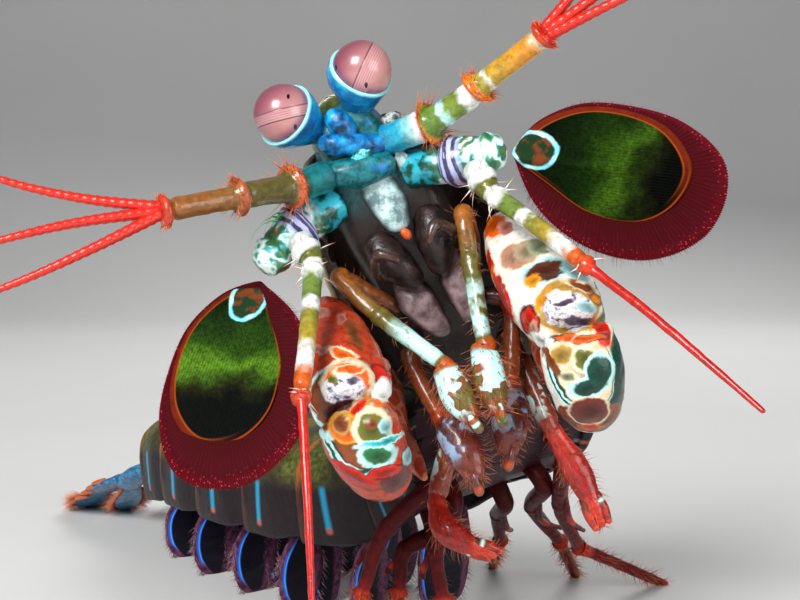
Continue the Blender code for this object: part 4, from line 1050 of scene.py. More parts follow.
def banded(name, last, stops, patches=(), **sockets):
    """A finish whose colours follow each other along the piece, at the station numbers given."""

    def paint(tree):
        grain = relief_of(tree)
        stray = tree.times(tree.noise(0.8, 3.0), 0.3, -0.15)
        along = tree.times(stray, 1 / last, tree.mark("along"))
        colour = tree.ramp(along, [(station / last, shade) for station, shade in stops])
        shade = tree.ramp(grain["Mottle"], ((0.32, (0.5, 0.5, 0.5)), (0.62, (1.0, 1.0, 1.0))))
        colour = tree.blend(1.0, colour, shade, "MULTIPLY")
        blotches = tree.noise(0.36, 2.0, tree.warped(0.9, 0.8))
        for start, end, shade, rim, level in patches:
            inside = tree.bump_of(along, (start + end) / 2 / last, (end - start) / 2 / last, 0.3 / last)
            lined = tree.times(tree.step(blotches, level - 0.04, level - 0.01), inside)
            colour = tree.blend(lined, colour, rim)
            filled = tree.times(tree.step(blotches, level, level + 0.03), inside)
            colour = tree.blend(filled, colour, shade)
        return colour, grain["Height"]

    return finish(name, paint, **{"roughness": 0.3, "coat_weight": 0.5, **sockets})


# Limbs are rows of forward, left, up and half width, and of half depth where it differs
ANTENNULE_STALKS = {
    1: (
        (-2.2, 3.0, -3.4, 1.8), (-2.2, 6.4, -5.2, 1.7), (-2.2, 8.2, -6.1, 2.1), (-2.0, 9.0, -6.6, 1.5),
        (-1.0, 13.4, -8.4, 1.4), (-0.6, 14.3, -8.8, 1.75), (-0.3, 15.2, -9.2, 1.2),
        (1.5, 21.3, -12.0, 1.2), (1.8, 22.2, -12.4, 1.5), (2.0, 22.9, -12.6, 0.8),
    ),
    -1: (
        (-2.0, -4.0, -4.6, 1.8), (-0.9, -6.6, -6.6, 1.7), (-0.1, -7.9, -7.7, 2.1),
        (0.4, -8.7, -8.4, 1.5), (2.7, -12.1, -11.3, 1.4), (3.1, -12.8, -11.9, 1.75),
        (3.5, -13.5, -12.2, 1.2), (6.1, -18.6, -14.4, 1.2), (6.5, -19.4, -14.8, 1.5),
        (6.8, -20.0, -15.0, 0.8),
    ),
}
FLAGELLA = {
    1: (
        ((1.9, 22.4, -12.4), (3.2, 28.7, -14.3), (4.4, 37.5, -15.8), (4.5, 47.4, -16.8)),
        ((1.6, 22.4, -12.7), (2.1, 28.8, -15.6), (2.2, 37.0, -18.6), (1.2, 45.6, -20.8)),
        ((2.1, 22.2, -12.0), (4.6, 28.0, -12.4), (8.0, 35.0, -12.2), (12.0, 41.0, -12.0)),
    ),
    -1: (
        ((6.6, -19.6, -14.8), (10.0, -26.8, -15.5), (12.7, -33.9, -16.7), (15.4, -44.8, -15.8)),
        ((6.5, -19.7, -15.1), (7.6, -26.6, -17.4), (8.8, -34.6, -18.6), (10.6, -44.4, -18.2)),
        ((6.8, -19.3, -14.5), (11.4, -25.6, -13.6), (16.4, -31.0, -12.6), (22.0, -35.4, -11.6)),
    ),
}
# Half widths of a whip at its four points
FLAGELLUM_SIZES = (0.62, 0.5, 0.38, 0.22)
# Bands are station numbers along a limb with the colours there
ANTENNULE_BANDS = {
    1: (
        (0.0, (0.003, 0.15, 0.36)), (0.7, (0.01, 0.4, 0.55)), (1.2, (0.45, 0.75, 0.75)), (1.45, WHITE),
        (1.6, WHITE), (1.75, ORANGE), (2.2, (0.8, 0.25, 0.02)), (2.45, (0.1, 0.2, 0.02)),
        (3.16, (0.13, 0.24, 0.03)), (3.22, CYAN_WHITE), (3.34, CYAN_WHITE), (3.4, (0.2, 0.3, 0.04)),
        (3.72, (0.16, 0.22, 0.02)), (3.86, WHITE), (4.3, WHITE), (4.5, ORANGE),
        (5.35, (0.75, 0.2, 0.01)), (5.6, (0.3, 0.3, 0.03)), (6.02, (0.45, 0.35, 0.05)),
        (6.08, WHITE), (6.14, (0.5, 0.33, 0.03)), (6.9, (0.75, 0.28, 0.02)), (7.3, (0.85, 0.7, 0.5)),
        (7.5, WHITE), (7.7, ORANGE), (8.2, RED), (9.0, RED),
    ),
    -1: (
        (0.0, (0.003, 0.1, 0.14)), (1.0, (0.01, 0.22, 0.22)), (1.4, (0.02, 0.1, 0.08)),
        (1.7, (0.5, 0.1, 0.03)), (2.2, (0.62, 0.12, 0.03)), (2.6, (0.1, 0.09, 0.02)),
        (4.2, (0.13, 0.1, 0.02)), (4.6, (0.35, 0.3, 0.18)), (4.9, (0.45, 0.08, 0.02)),
        (5.6, (0.22, 0.1, 0.02)), (7.2, (0.3, 0.1, 0.02)), (7.7, (0.5, 0.06, 0.02)), (9.0, RED),
    ),
}


def flagellum_paint(tree):
    """Mottled red."""
    grain = relief_of(tree, 6.0)
    colour = tree.blend(grain["Mottle"], chosen("whip"), (0.45, 0.015, 0.008))
    return colour, grain["Height"]


def build_antennules():
    whip_finish = finish("flagellum", flagellum_paint, 0.3, 0.4)
    plants = []
    for side, rows in ANTENNULE_STALKS.items():
        name = side_name(side)
        stalk = collared(forebody_limb(rows, HEAD_UP), (2, 5, 8))
        skin = limb_skin(stalk, 40, 0.2, (0.6, 0.3))
        material = banded(f"antennule {name}", 9, ANTENNULE_BANDS[side])
        complete(f"antennule_{name}", skin, (1.5, 0.05, side), material)
        for number, length in ((2, 2.0), (5, 1.3), (8, 0.7)):
            ring = stalk.station(number)
            plants += plants_on(stalk, (ring - 0.3, ring + 0.5), 55, length, 0.06, number, 0.5)
        skin = Skin()
        for route in FLAGELLA[side]:
            stations = [(head(*p), r, r) for p, r in zip(route, FLAGELLUM_SIZES)]
            whip = Limb(stations, HEAD_UP, relief=annulated(0.9, 0.035))
            limb_skin(whip, 10, 0.22, (0.2, 0.25), skin)
        skin.close()
        finish_piece(f"antennule_flagella_{name}", skin, whip_finish)
    look = "feeler bristle", ORANGE, (0.5, 0.2, 0.1), 0.4, 0.1
    bristles("antennule_bristles", plants, bristle_form(3, 2), "antennule", *look)


ANTENNA_BASES = {
    1: (
        (-6.4, 3.6, -3.4, 2.2), (-6.9, 7.4, -5.9, 2.3), (-7.1, 8.6, -6.8, 2.6), (-7.3, 10.6, -8.0, 2.2),
        (-7.6, 12.2, -8.7, 2.0), (-8.0, 13.8, -9.3, 1.6),
    ),
    -1: (
        (-5.6, -4.6, -3.6, 2.2), (-4.9, -8.4, -5.8, 2.3), (-4.9, -9.6, -6.4, 2.6),
        (-5.1, -11.8, -7.6, 2.2), (-5.3, -13.4, -8.6, 2.0), (-5.5, -15.1, -9.5, 1.6),
    ),
}
ENDOPODS = {
    1: (
        (-7.6, 9.8, -9.4, 1.3), (-8.8, 9.9, -11.4, 1.5), (-10.1, 10.1, -13.3, 1.1),
        (-13.0, 12.1, -20.2, 0.9), (-15.7, 13.7, -27.0, 0.85), (-16.5, 14.2, -28.3, 0.5),
        (-20.6, 16.5, -35.2, 0.42), (-27.9, 19.7, -45.3, 0.25),
    ),
    -1: (
        (-5.0, -10.2, -8.6, 1.3), (-6.2, -9.9, -10.4, 1.5), (-7.3, -10.0, -12.4, 1.1),
        (-9.2, -12.7, -21.2, 0.9), (-11.9, -16.0, -28.6, 0.85), (-12.5, -16.4, -29.9, 0.5),
        (-18.4, -20.0, -36.4, 0.42), (-26.7, -25.1, -43.8, 0.25),
    ),
}
ENDOPOD_BANDS = (
    (0.0, (0.5, 0.55, 0.5)), (0.9, WHITE), (1.2, WHITE), (1.35, OLIVE), (1.8, OLIVE), (1.95, WHITE),
    (2.15, WHITE), (2.3, (0.16, 0.24, 0.04)), (2.58, (0.16, 0.24, 0.04)), (2.66, WHITE), (2.78, WHITE),
    (2.86, (0.25, 0.24, 0.03)), (3.2, (0.42, 0.3, 0.03)), (3.45, WHITE), (3.6, WHITE),
    (3.75, (0.65, 0.12, 0.01)), (4.2, (0.62, 0.05, 0.008)), (5.0, RED), (7.0, (0.5, 0.008, 0.004)),
)
BASE_STOPS = (
    (0.3, (0.006, 0.05, 0.03)), (0.39, (0.03, 0.16, 0.07)), (0.43, (0.1, 0.3, 0.16)),
    (0.46, CYAN_WHITE), (0.51, WHITE), (0.54, (0.08, 0.48, 0.52)), (0.57, (0.03, 0.15, 0.06)),
    (0.63, (0.06, 0.17, 0.05)), (0.65, (0.3, 0.1, 0.03)), (0.68, CYAN_WHITE),
)
# The green spines over the right antenna base: root, way, length, radius and bend
GREEN_SPINES = (
    ((-2.8, -10.4, -7.2), (-0.6, -0.3, 0.3), 5.5, 0.13, (0.15, 0.0, -1.05)),
    ((-2.6, -10.2, -7.0), (-0.6, -0.3, 0.5), 3.6, 0.16, (0.15, 0.0, -1.2)),
    ((-3.0, -10.8, -7.4), (-0.7, -0.3, 0.3), 4.6, 0.1, (0.1, 0.0, -0.9)),
    ((-2.6, -9.6, -6.9), (-0.5, -0.5, 0.1), 2.6, 0.22, (0.0, 0.0, -0.8)),
)


def antenna_base_paint(tree):
    """Green and white outlines inside each other, with lavender crescents at the joint."""
    grain = relief_of(tree)
    colour = tree.agate(0.36, BASE_STOPS)
    along = tree.mark("along")
    waves = tree.times(along, 82.0, tree.times(tree.noise(0.5), 5.0))
    crescents = tree.step(tree.maths("SINE", waves), -0.5, 0.4)
    crescents = tree.blend(crescents, (0.04, 0.025, 0.09), LAVENDER)
    colour = tree.blend(tree.bump_of(along, 0.4, 0.13, 0.06), colour, crescents)
    dark = tree.blend(tree.step(tree.noise(0.7, 3.0), 0.45, 0.6), TEAL, (0.02, 0.36, 0.46))
    colour = tree.blend(tree.step(along, 0.24, 0.14), colour, dark)
    return colour, grain["Height"]


SCALE_LENGTH = 18.8
SCALE_HALF_WIDTH = 5.9
SCALE_WALL = 0.8
SETA_ROOT = 1.3
SETA_SLANT = 0.25
WEB_ROOT = 0.8
WEB_DROP = 0.15
# Each scale's hinge, far end and a point on its inner side
SCALE_PLACES = {
    1: ((12.0, -6.2, 60.2), (33.0, -8.4, 57.6), (22.0, -6.4, 50.0)),
    -1: ((-14.6, -7.8, 46.6), (-20.2, -16.2, 29.7), (-10.4, -13.4, 38.4)),
}
# Shares of the length and the half width round the blade, and of the setae's length there
SCALE_OUTLINE = (
    (0.0, 0.1), (0.12, 0.62), (0.35, 0.98), (0.62, 1.0), (0.86, 0.72), (1.0, 0.08), (0.92, -0.62),
    (0.72, -0.98), (0.45, -0.88), (0.2, -0.45), (0.03, -0.12),
)
SCALE_FRINGE = (0.0, 0.05, 0.1, 0.14, 0.35, 0.75, 1.0, 1.0, 0.95, 0.75, 0.1)
# Colours across the blade's glow; None stands for the glow's own colour
GLOW_STOPS = (
    (0.2, (0.002, 0.007, 0.002)), (0.4, (0.008, 0.026, 0.003)), (0.55, (0.02, 0.06, 0.004)),
    (0.68, None),
    (0.77, (0.035, 0.08, 0.006)), (0.84, (0.012, 0.014, 0.003)), (0.92, (0.002, 0.002, 0.002)),
)
# How far along the glow lies and how bright each side's blade is painted: painted lighting, the left blade
# darker than the right
GLOWS = {1: (0.21, 0.38), -1: (0.09, 0.85)}


def scale_plane(side):
    """The blade's hinge, its length, its outer side and its face."""
    hinge, tip, inner = (floor_place(*p) for p in SCALE_PLACES[side])
    along = (tip - hinge).normalized()
    outward = -(inner - hinge)
    outward = (outward - along * outward.dot(along)).normalized()
    return hinge, along, outward, along.cross(outward)


def scale_outline(count):
    """Points round the blade as (along, outward, fringe share), in millimetres from the hinge."""
    rows = closed_curve([(*p, f) for p, f in zip(SCALE_OUTLINE, SCALE_FRINGE)], count)
    return [(r[0] * SCALE_LENGTH, r[1] * SCALE_HALF_WIDTH, max(r[2], 0.0)) for r in rows]


def scale_skin(side):
    """The blade from its rim to its middle on both faces, thick at the outer margin and the midrib."""
    hinge, along, outward, face = scale_plane(side)
    rows = scale_outline(160)
    middle_u = sum(row[0] for row in rows) / len(rows)
    skin = Skin()
    rings = []
    depths = [(share, 1) for share in np.linspace(0.02, 0.98, 34)] + [(1.0, 0.4), (1.0, -0.4)]
    depths += [(share, -1) for share in np.linspace(0.98, 0.02, 34)]
    for share, sheet in depths:
        ring = []
        for u, v, _ in rows:
            near_u = middle_u + (u - middle_u) * share
            near_v = v * share
            outer = ease(near_v / SCALE_HALF_WIDTH, 0.1, 0.9) * 0.16 * ease(share, 0.8, 0.95)
            rib = 0.22 * math.exp(-(((near_v + 0.4) / 0.45) ** 2)) * (1 - ease(near_u, 8, 16))
            thick = SCALE_WALL * 0.42 * math.sqrt(max(1 - share**6, 0.06))
            height = sheet * (thick + outer + rib * (sheet > 0))
            cup = -0.25 * (near_v / SCALE_HALF_WIDTH) ** 2
            place = hinge + along * near_u + outward * near_v + face * (height + cup)
            ring.append((place, near_v / SCALE_HALF_WIDTH, share))
        rings.append(ring)
    skin.loft(rings, [0.0] * len(rings))
    for vert in skin.bm.verts:
        vert[skin.along] = (vert.co - hinge).dot(along) / SCALE_LENGTH
    return skin.close()


def scale_paint(tree, shift, strength):
    """A near-black green blade with a glowing streak, a dark red rim and fine veins."""
    grain = relief_of(tree, 6.0)
    along, across, rim = tree.mark("along"), tree.mark("side"), tree.mark("top")
    slant = tree.times(across, -0.1, tree.maths("SUBTRACT", along, shift))
    curve = tree.times(tree.noise(0.22, 3.0), 0.5, slant)
    glow = tree.ramp(curve, [(stop, shade or chosen("glow")) for stop, shade in GLOW_STOPS])
    speck = tree.noise(2.6, 4.0, rough=0.75)
    speck = tree.ramp(speck, ((0.36, (0.45, 0.45, 0.45)), (0.66, (1.35, 1.35, 1.35))))
    colour = tree.blend(1.0, glow, speck, "MULTIPLY")
    # Painted lighting: the whole blade is darkened by its side's painted brightness
    colour = tree.blend(1.0, colour, (strength,) * 3, "MULTIPLY")
    fine = tree.maths("SINE", tree.times(across, 120.0, tree.times(tree.noise(0.6), 7.0)))
    veins = tree.times(tree.step(fine, 0.3, 1.0), 0.35)
    colour = tree.blend(veins, colour, (0.003, 0.008, 0.003))
    outer_side = tree.step(across, -0.7, 0.4)
    band = tree.blend(tree.noise(1.2, 3.0), (0.06, 0.006, 0.003), (0.17, 0.018, 0.005))
    colour = tree.blend(tree.times(tree.step(rim, 0.905, 0.925), outer_side), colour, band)
    inner_line = tree.times(tree.bump_of(rim, 0.905, 0.01, 0.01), outer_side)
    colour = tree.blend(inner_line, colour, (0.25, 0.045, 0.006))
    thin = tree.times(tree.bump_of(rim, 0.968, 0.01, 0.01), tree.step(across, 0.5, -0.5))
    colour = tree.blend(thin, colour, (0.26, 0.04, 0.004))
    # The pale loop round a dark hollow at the hinge
    u = tree.times(tree.maths("SUBTRACT", along, 0.115), 8.2)
    v = tree.times(tree.maths("SUBTRACT", across, 0.12), 3.2)
    ring = tree.maths("SQRT", tree.times(u, u, tree.times(v, v)))
    ring = tree.times(tree.noise(0.5), 0.5, tree.maths("SUBTRACT", ring, 0.25))
    hollow = tree.step(tree.noise(0.8), 0.45, 0.6)
    hollow = tree.blend(hollow, (0.01, 0.03, 0.012), (0.14, 0.035, 0.012))
    colour = tree.blend(tree.step(ring, 0.95, 0.8), colour, hollow)
    loop = tree.blend(tree.step(tree.noise(0.5), 0.4, 0.6), (0.18, 0.58, 0.66), CYAN_WHITE)
    colour = tree.blend(tree.bump_of(ring, 1.0, 0.1, 0.06), colour, loop)
    return colour, tree.times(fine, 0.25, grain["Height"])


def fringe_paint(tree):
    stops = ((0.0, (0.03, 0.005, 0.006)), (0.8, (0.09, 0.008, 0.012)), (1.0, (0.42, 0.04, 0.045)))
    return tree.ramp(tree.mark("along"), stops), relief_of(tree, 6.0)["Height"]


def membrane_paint(tree):
    """The fringe's web: dark maroon with fine rays and a few pale dots at its edge."""
    grain = relief_of(tree, 6.0)
    rays = tree.maths("SINE", tree.times(tree.mark("side"), 900.0))
    stops = ((0.0, (0.04, 0.002, 0.002)), (0.7, chosen("web")), (1.0, (0.13, 0.004, 0.008)))
    colour = tree.ramp(tree.mark("along"), stops)
    gaps = tree.times(tree.step(rays, -0.2, 0.8), 0.22)
    colour = tree.blend(gaps, colour, (0.015, 0.003, 0.006))
    dots = tree.step(tree.cells(2.6).outputs["Distance"], 0.26, 0.16)
    dots = tree.times(dots, tree.step(tree.mark("along"), 0.55, 1.0))
    colour = tree.blend(tree.times(dots, 0.8), colour, (0.6, 0.06, 0.09))
    return colour, tree.times(rays, 0.35, grain["Height"])


def scale_rim(side, count):
    """Points round a blade, each with the ways along and out of the rim and the setae's share."""
    hinge, along, outward, face = scale_plane(side)
    rows = scale_outline(count)
    middle = hinge + along * (SCALE_LENGTH * 0.55)
    made = []
    for (u, v, fringe), (next_u, next_v, _) in zip(rows, rows[1:] + rows[:1]):
        run = (along * (next_u - u) + outward * (next_v - v)).normalized()
        place = hinge + along * u + outward * v
        away = face.cross(run)
        made.append((place, run, away if away.dot(place - middle) > 0 else -away, fringe))
    return made


def membrane_skin(side, seta_length):
    """The thin pleated web that joins the setae, from inside the rim to near their tips."""
    _, along, _, face = scale_plane(side)
    rim = scale_rim(side, 900)
    skin = Skin()
    rings, marks = [], []
    sheets = [(share, 1) for share in (0.0, 0.25, 0.5, 0.75, 0.94)]
    sheets += [(share, -1) for share in (0.94, 0.5, 0.0)]
    for share, sheet in sheets:
        ring = []
        for k, (place, _, away, fringe) in enumerate(rim):
            notch = 0.06 * (k % 3) / 3 * share
            pleat = 0.035 * math.sin(k * math.pi / 1.5)
            width = WEB_ROOT + seta_length * min(fringe, 1.0) * (1 - notch)
            out = (away + along * SETA_SLANT) * (width * share - WEB_ROOT)
            lift = face * (sheet * 0.07 + pleat * share - WEB_DROP)
            ring.append((place + out + lift, k / len(rim), sheet))
        rings.append(ring)
        marks.append(share)
    skin.loft(rings, marks)
    return skin.close()


def scale_fringe(side, seed, seta_length):
    """Flat setae side by side inside the web, with their tips free at its edge."""
    _, along, _, face = scale_plane(side)
    rim = scale_rim(side, 1000)
    draw = random.Random(seed)
    plants = []
    for k, (place, run, away, fringe) in enumerate(rim[:-1]):
        if fringe < 0.08:
            continue
        slant = away + along * (SETA_SLANT + draw.gauss(0, 0.04)) + face * draw.gauss(0, 0.01)
        length = (SETA_ROOT + seta_length * fringe) * draw.uniform(0.92, 1.16)
        bend = face * draw.gauss(0, 0.01)
        root = place - face * WEB_DROP - away * SETA_ROOT
        plants.append((root, slant, run, length, 0.06, bend, k / len(rim), 0.5))
    return plants


def build_antennae(reach):
    fringe_finish = finish("scale fringe", fringe_paint, 0.6, 0.0, Specular_IOR_Level=0.1)
    web_finish = finish("scale web", membrane_paint, 0.6, 0.0, 0.25, Specular_IOR_Level=0.03)
    base_finish = finish("antenna base cuticle", antenna_base_paint, 0.3, 0.5)
    spines = []
    for side, rows in ANTENNA_BASES.items():
        name = side_name(side)
        base = collared(forebody_limb(rows, HEAD_UP), (2, 4), 0.3)
        skin = limb_skin(base, 44, 0.25, (0.8, 0.8))
        complete(f"antenna_base_{name}", skin, (1.8, 0.12, side), base_finish)
        whip = collared(forebody_limb(ENDOPODS[side], HEAD_UP), (1, 2.1, 4.1), 0.2)
        skin = limb_skin(whip, 24, 0.25, (0.5, 0.3))
        material = banded("antenna whip cuticle", 7, ENDOPOD_BANDS)
        complete(f"antenna_endopod_{name}", skin, (1.2, 0.04, side), material)
        for number, count, length in ((1, 8, 1.9), (2.1, 7, 1.6), (4.1, 5, 1.3)):
            ring = whip.station(number)
            spines += plants_on(whip, (ring - 0.4, ring + 0.4), count, length, 0.09, number, 0.4)
        node = f"antennal_scale_{name}"

        def blade_paint(tree, glow=GLOWS[side]):
            return scale_paint(tree, *glow)

        blade = finish(f"scale blade {name}", blade_paint, 0.6, 0.0, 0.08, Specular_IOR_Level=0.02)
        finish_piece(node, scale_skin(side), blade, [node])
        finish_piece(f"scale_web_{name}", membrane_skin(side, reach), web_finish)
        plants = scale_fringe(side, 11 + side, reach)
        coat(f"scale_fringe_{name}", plants, bristle_form(4, 2, 0.35), fringe_finish)
    shoots = []
    for k, (root, way, length, radius, bend) in enumerate(GREEN_SPINES):
        shoots.append((head(*root), Vector(way), HEAD_LEFT, length, radius, bend, 0.2 * k, 0.2))
    look = "green spine", (0.02, 0.3, 0.1), (0.12, 0.6, 0.22), 0.4, 0.1
    bristles("base_spines", shoots, bristle_form(6, 3), "antenna_base", *look)
    look = "antenna spine", WHITE, (0.62, 0.16, 0.06), 0.3, 0.3
    bristles("antenna_spines", spines, bristle_form(5, 2), "antenna_whip", *look)


# The raptorial claws, folded: merus, carpus, propodus and the club-heeled dactyl

# The top, the knee, the bulb below it and the far end of each propodus, on the head
CLAW_PLACES = {
    1: ((-17.0, 10.0, -5.6), (-22.0, 9.8, -25.6), (-29.2, 7.9, -26.6), (-26.4, 10.6, -7.6)),
    -1: ((-15.5, -12.2, -5.4), (-17.4, -13.2, -25.0), (-24.6, -14.0, -25.6), (-23.6, -11.8, -7.4)),
}
# The first and last station of each part in claw_rows
CLAW_PARTS = (("merus", 0, 4), ("carpus", 4, 8), ("propodus", 8, 12), ("dactyl", 12, 17))


def claw_rows(side):
    """Each claw hangs down from its merus; its propodus and club fold back up behind."""
    top, knee, bulb, far = (Vector(p) for p in CLAW_PLACES[side])
    down = knee - top
    drop = bulb - knee
    turn = Vector((-1.0, 0.0, 4.6)) + bulb
    back = far - turn
    rows = (
        (top, 2.4, 2.4),
        (top + down * 0.22, 3.7, 3.5),
        (top + down * 0.55, 4.6, 4.2),
        (top + down * 0.8, 4.4, 4.1),
        (knee, 3.6, 3.6),
        (knee + drop * 0.42 + Vector((0, 0, -1.0)), 4.0, 3.7),
        (knee + drop * 0.85 + Vector((0, 0, -0.4)), 3.7, 3.4),
        (bulb + Vector((-1.5, 0, 1.6)), 3.0, 3.0),
        (turn, 2.7, 2.6),
        (turn + back * 0.2, 3.5, 3.6),
        (turn + back * 0.55, 3.8, 4.0),
        (turn + back * 0.85, 3.1, 3.0),
        (far, 2.0, 2.0),
        (far + Vector((-1.3, 0.1 * side, 1.7)), 2.9, 2.6),
        (far + Vector((-4.0, 0.1 * side, 0.7)), 2.9, 2.5),
        (far + Vector((-6.2, 0, -2.4)), 1.6, 1.6),
        (far + Vector((-7.9, -0.2 * side, -8.0)), 1.1, 1.2),
        (far + Vector((-8.6, -0.6 * side, -12.0)), 0.45, 0.45),
    )
    return [(*point, width, depth) for point, width, depth in rows]


# The claws' painted ovals: x, y and z of the centre, half width, half height, tilt in degrees,
# lift, colour, and the colour and width of the rim where there is one
CLAW_MARKS = {
    1: (
        (22.0, -16.5, 38.0, 3.4, 6.0, 0, 0.0, TEAL), (19.5, -17.0, 33.6, 4.4, 2.6, 0, 0.0, BROWN),
        (22.0, -13.0, 46.0, 1.8, 4.0, 0, 0.0, OLIVE), (17.4, -20.5, 39.1, 4.1, 6.4, 24, 0.0, STRIPES),
        (18.3, -20.5, 39.3, 2.9, 4.8, 20, 0.0, CREAM, MAROON, 0.2),
        (10.7, -2.9, 52.9, 1.4, 1.4, -25, 0.1, ORANGE), (11.7, -4.7, 52.8, 0.8, 0.8, 30, 0.1, ROSE),
        (9.5, -6.5, 50.2, 2.8, 0.45, -72, 0.0, RED),
        (12.5, -10.6, 50.1, 2.2, 1.3, 15, 0.15, TAN, CREAM, 0.2),
        (13.4, -10.7, 50.5, 1.4, 1.1, 18, 0.0, (0.38, 0.28, 0.17)),
        (14.6, -10.9, 50.9, 1.0, 0.9, 20, 0.0, SAGE), (10.6, -10.6, 47.1, 4.1, 0.5, -68, 0.0, RED),
        # The next oval is a painted shadow in a fold, and its ice rim a painted highlight along the fold's
        # edge
        (15.1, -14.1, 48.7, 2.1, 1.0, 22, -0.4, (0.09, 0.02, 0.008), ICE, 0.3),
        (13.8, -14.7, 47.7, 0.9, 0.6, 35, 0.1, AMBER), (18.1, -13.5, 48.5, 1.5, 0.8, -28, 0.1, ICE),
        (17.0, -17.7, 45.2, 3.5, 2.8, -12, 0.45, GOLD, CREAM, 0.4),
        (14.7, -16.9, 46.0, 1.3, 0.5, 58, 0.15, AMBER), (17.0, -17.6, 44.9, 2.6, 1.9, -10, 0.25, STONE),
        # The white and the ice ovals on the next line are painted highlights on the stone patch
        (15.8, -17.0, 46.5, 1.0, 0.4, 10, 0.1, WHITE), (18.7, -17.2, 45.3, 1.2, 0.5, -20, 0.1, ICE),
        (16.4, -17.7, 45.8, 1.1, 0.3, 12, -0.1, PLUM), (18.0, -17.1, 43.9, 1.6, 0.4, -3, -0.1, PLUM),
        (18.3, -15.3, 47.3, 1.3, 0.4, -22, 0.1, BROWN, CREAM, 0.2),
        (19.6, -15.0, 46.1, 0.8, 0.3, -35, 0.15, AMBER, BROWN, 0.25),
        (13.3, -16.6, 43.7, 0.8, 1.3, 5, 0.4, RED, MAROON, 0.3),
        (13.7, -17.2, 43.1, 0.4, 0.8, 10, 0.0, TAN), (14.5, -16.6, 41.9, 1.3, 0.7, -35, 0.4, WHITE),
        (20.1, -18.8, 42.9, 0.8, 1.4, 15, 0.3, RED),
        (17.8, -20.0, 42.4, 2.6, 0.4, 2, 0.3, ORANGE, MAROON, 0.2),
        (16.1, -20.1, 40.8, 0.9, 1.1, -30, 0.2, GOLD, CREAM, 0.3),
        (18.3, -20.3, 40.5, 1.0, 1.1, 0, 0.35, OLIVE, CREAM, 0.35),
        (19.8, -20.1, 39.3, 1.2, 1.4, 10, 0.25, TEAL, CYAN_WHITE, 0.45),
        (18.7, -20.3, 37.7, 1.6, 0.9, 18, 0.25, TEAL, CYAN_WHITE, 0.45),
        (19.7, -20.2, 39.0, 1.2, 1.3, 10, 0.0, TEAL),
        (16.7, -20.3, 38.6, 0.7, 0.5, 0, 0.1, SAGE, CREAM, 0.2),
        (19.1, -18.9, 34.9, 2.1, 1.7, 0, 0.1, (0.14, 0.02, 0.012), CREAM, 0.2),
        (15.1, -19.4, 40.2, 1.8, 0.4, -62, 0.0, BROWN), (19.6, -17.3, 33.2, 0.9, 0.3, 0, 0.0, RED),
    ),
    -1: (
        (-4.6, -21.2, 34.4, 4.3, 6.0, 28, 0.0, STRIPES),
        (-3.7, -21.0, 34.5, 3.2, 4.8, 24, 0.0, BROWN, MAROON, 0.2),
        (-7.9, -5.9, 43.8, 1.0, 0.5, 0, 0.0, ROSE), (-5.7, -7.9, 43.3, 0.5, 0.6, 0, 0.0, ROSE),
        # The first oval on the next line, a thin rose streak, is a painted highlight
        (-7.9, -13.8, 40.7, 1.5, 0.4, -5, 0.0, ROSE), (-4.1, -11.7, 41.8, 3.1, 0.6, -62, 0.0, BROWN),
        (-5.2, -15.3, 40.4, 1.2, 0.5, -20, 0.35, ORANGE, CREAM, 0.25),
        (-1.6, -13.6, 38.3, 1.6, 0.8, -32, 0.4, RED, MAROON, 0.2),
        (-5.2, -17.8, 35.7, 3.3, 3.7, 35, 0.3, BROWN, CYAN_WHITE, 0.55),
        (-4.7, -18.2, 38.0, 2.3, 1.9, 0, 0.3, ORANGE, CREAM, 0.45),
        (-5.1, -18.2, 37.3, 2.2, 1.5, 0, 0.2, STONE),
        (-4.5, -17.3, 39.2, 1.4, 0.4, 4, 0.2, ORANGE, CREAM, 0.2),
        (-6.1, -18.5, 38.3, 0.5, 0.5, 0, -0.1, OLIVE), (-4.1, -18.1, 38.2, 0.5, 0.4, 0, -0.1, PLUM),
        (-5.6, -17.7, 35.2, 1.8, 0.8, 28, 0.1, MAROON),
        (-3.8, -19.4, 35.4, 1.5, 0.5, 48, 0.2, RED, GOLD, 0.25),
        (-5.0, -21.2, 33.8, 1.4, 1.3, -20, 0.2, ORANGE, AMBER, 0.3),
        (-5.2, -21.1, 34.2, 0.7, 0.8, -20, 0.1, BROWN, GOLD, 0.3),
        (-1.9, -16.8, 35.7, 0.7, 0.9, 0, 0.1, ORANGE),
        (-2.2, -20.9, 33.8, 1.4, 1.5, 0, 0.4, OLIVE, CREAM, 0.6),
        (-2.1, -20.7, 34.3, 0.6, 0.5, 0, 0.0, BROWN), (-1.0, -20.0, 33.9, 0.6, 0.8, 0, 0.1, ICE),
        (-1.7, -20.9, 31.2, 1.4, 1.0, 0, 0.4, GREEN, CYAN_WHITE, 0.5),
        (0.2, -18.1, 28.1, 1.9, 1.4, 15, 0.0, (0.14, 0.02, 0.012)),
        (-0.9, -19.8, 29.3, 1.8, 0.6, 10, 0.3, RED, MAROON, 0.2),
        (-1.2, -20.5, 32.5, 2.1, 0.3, 10, 0.2, CYAN, CYAN_WHITE, 0.3),
        (-1.3, -15.6, 36.8, 1.1, 1.3, 0, 0.45, WHITE),
        (-4.2, -20.0, 28.9, 3.3, 0.9, -29, 0.3, RED, BROWN, 0.25),
        (1.3, -17.0, 30.4, 0.6, 0.9, 0, 0.1, ICE, MAROON, 0.15),
    ),
}


CLAW_STOPS = (
    (0.32, BROWN), (0.42, ORANGE), (0.455, CREAM), (0.48, CYAN_WHITE), (0.52, TEAL), (0.58, OLIVE),
    (0.62, CREAM), (0.68, RED),
)


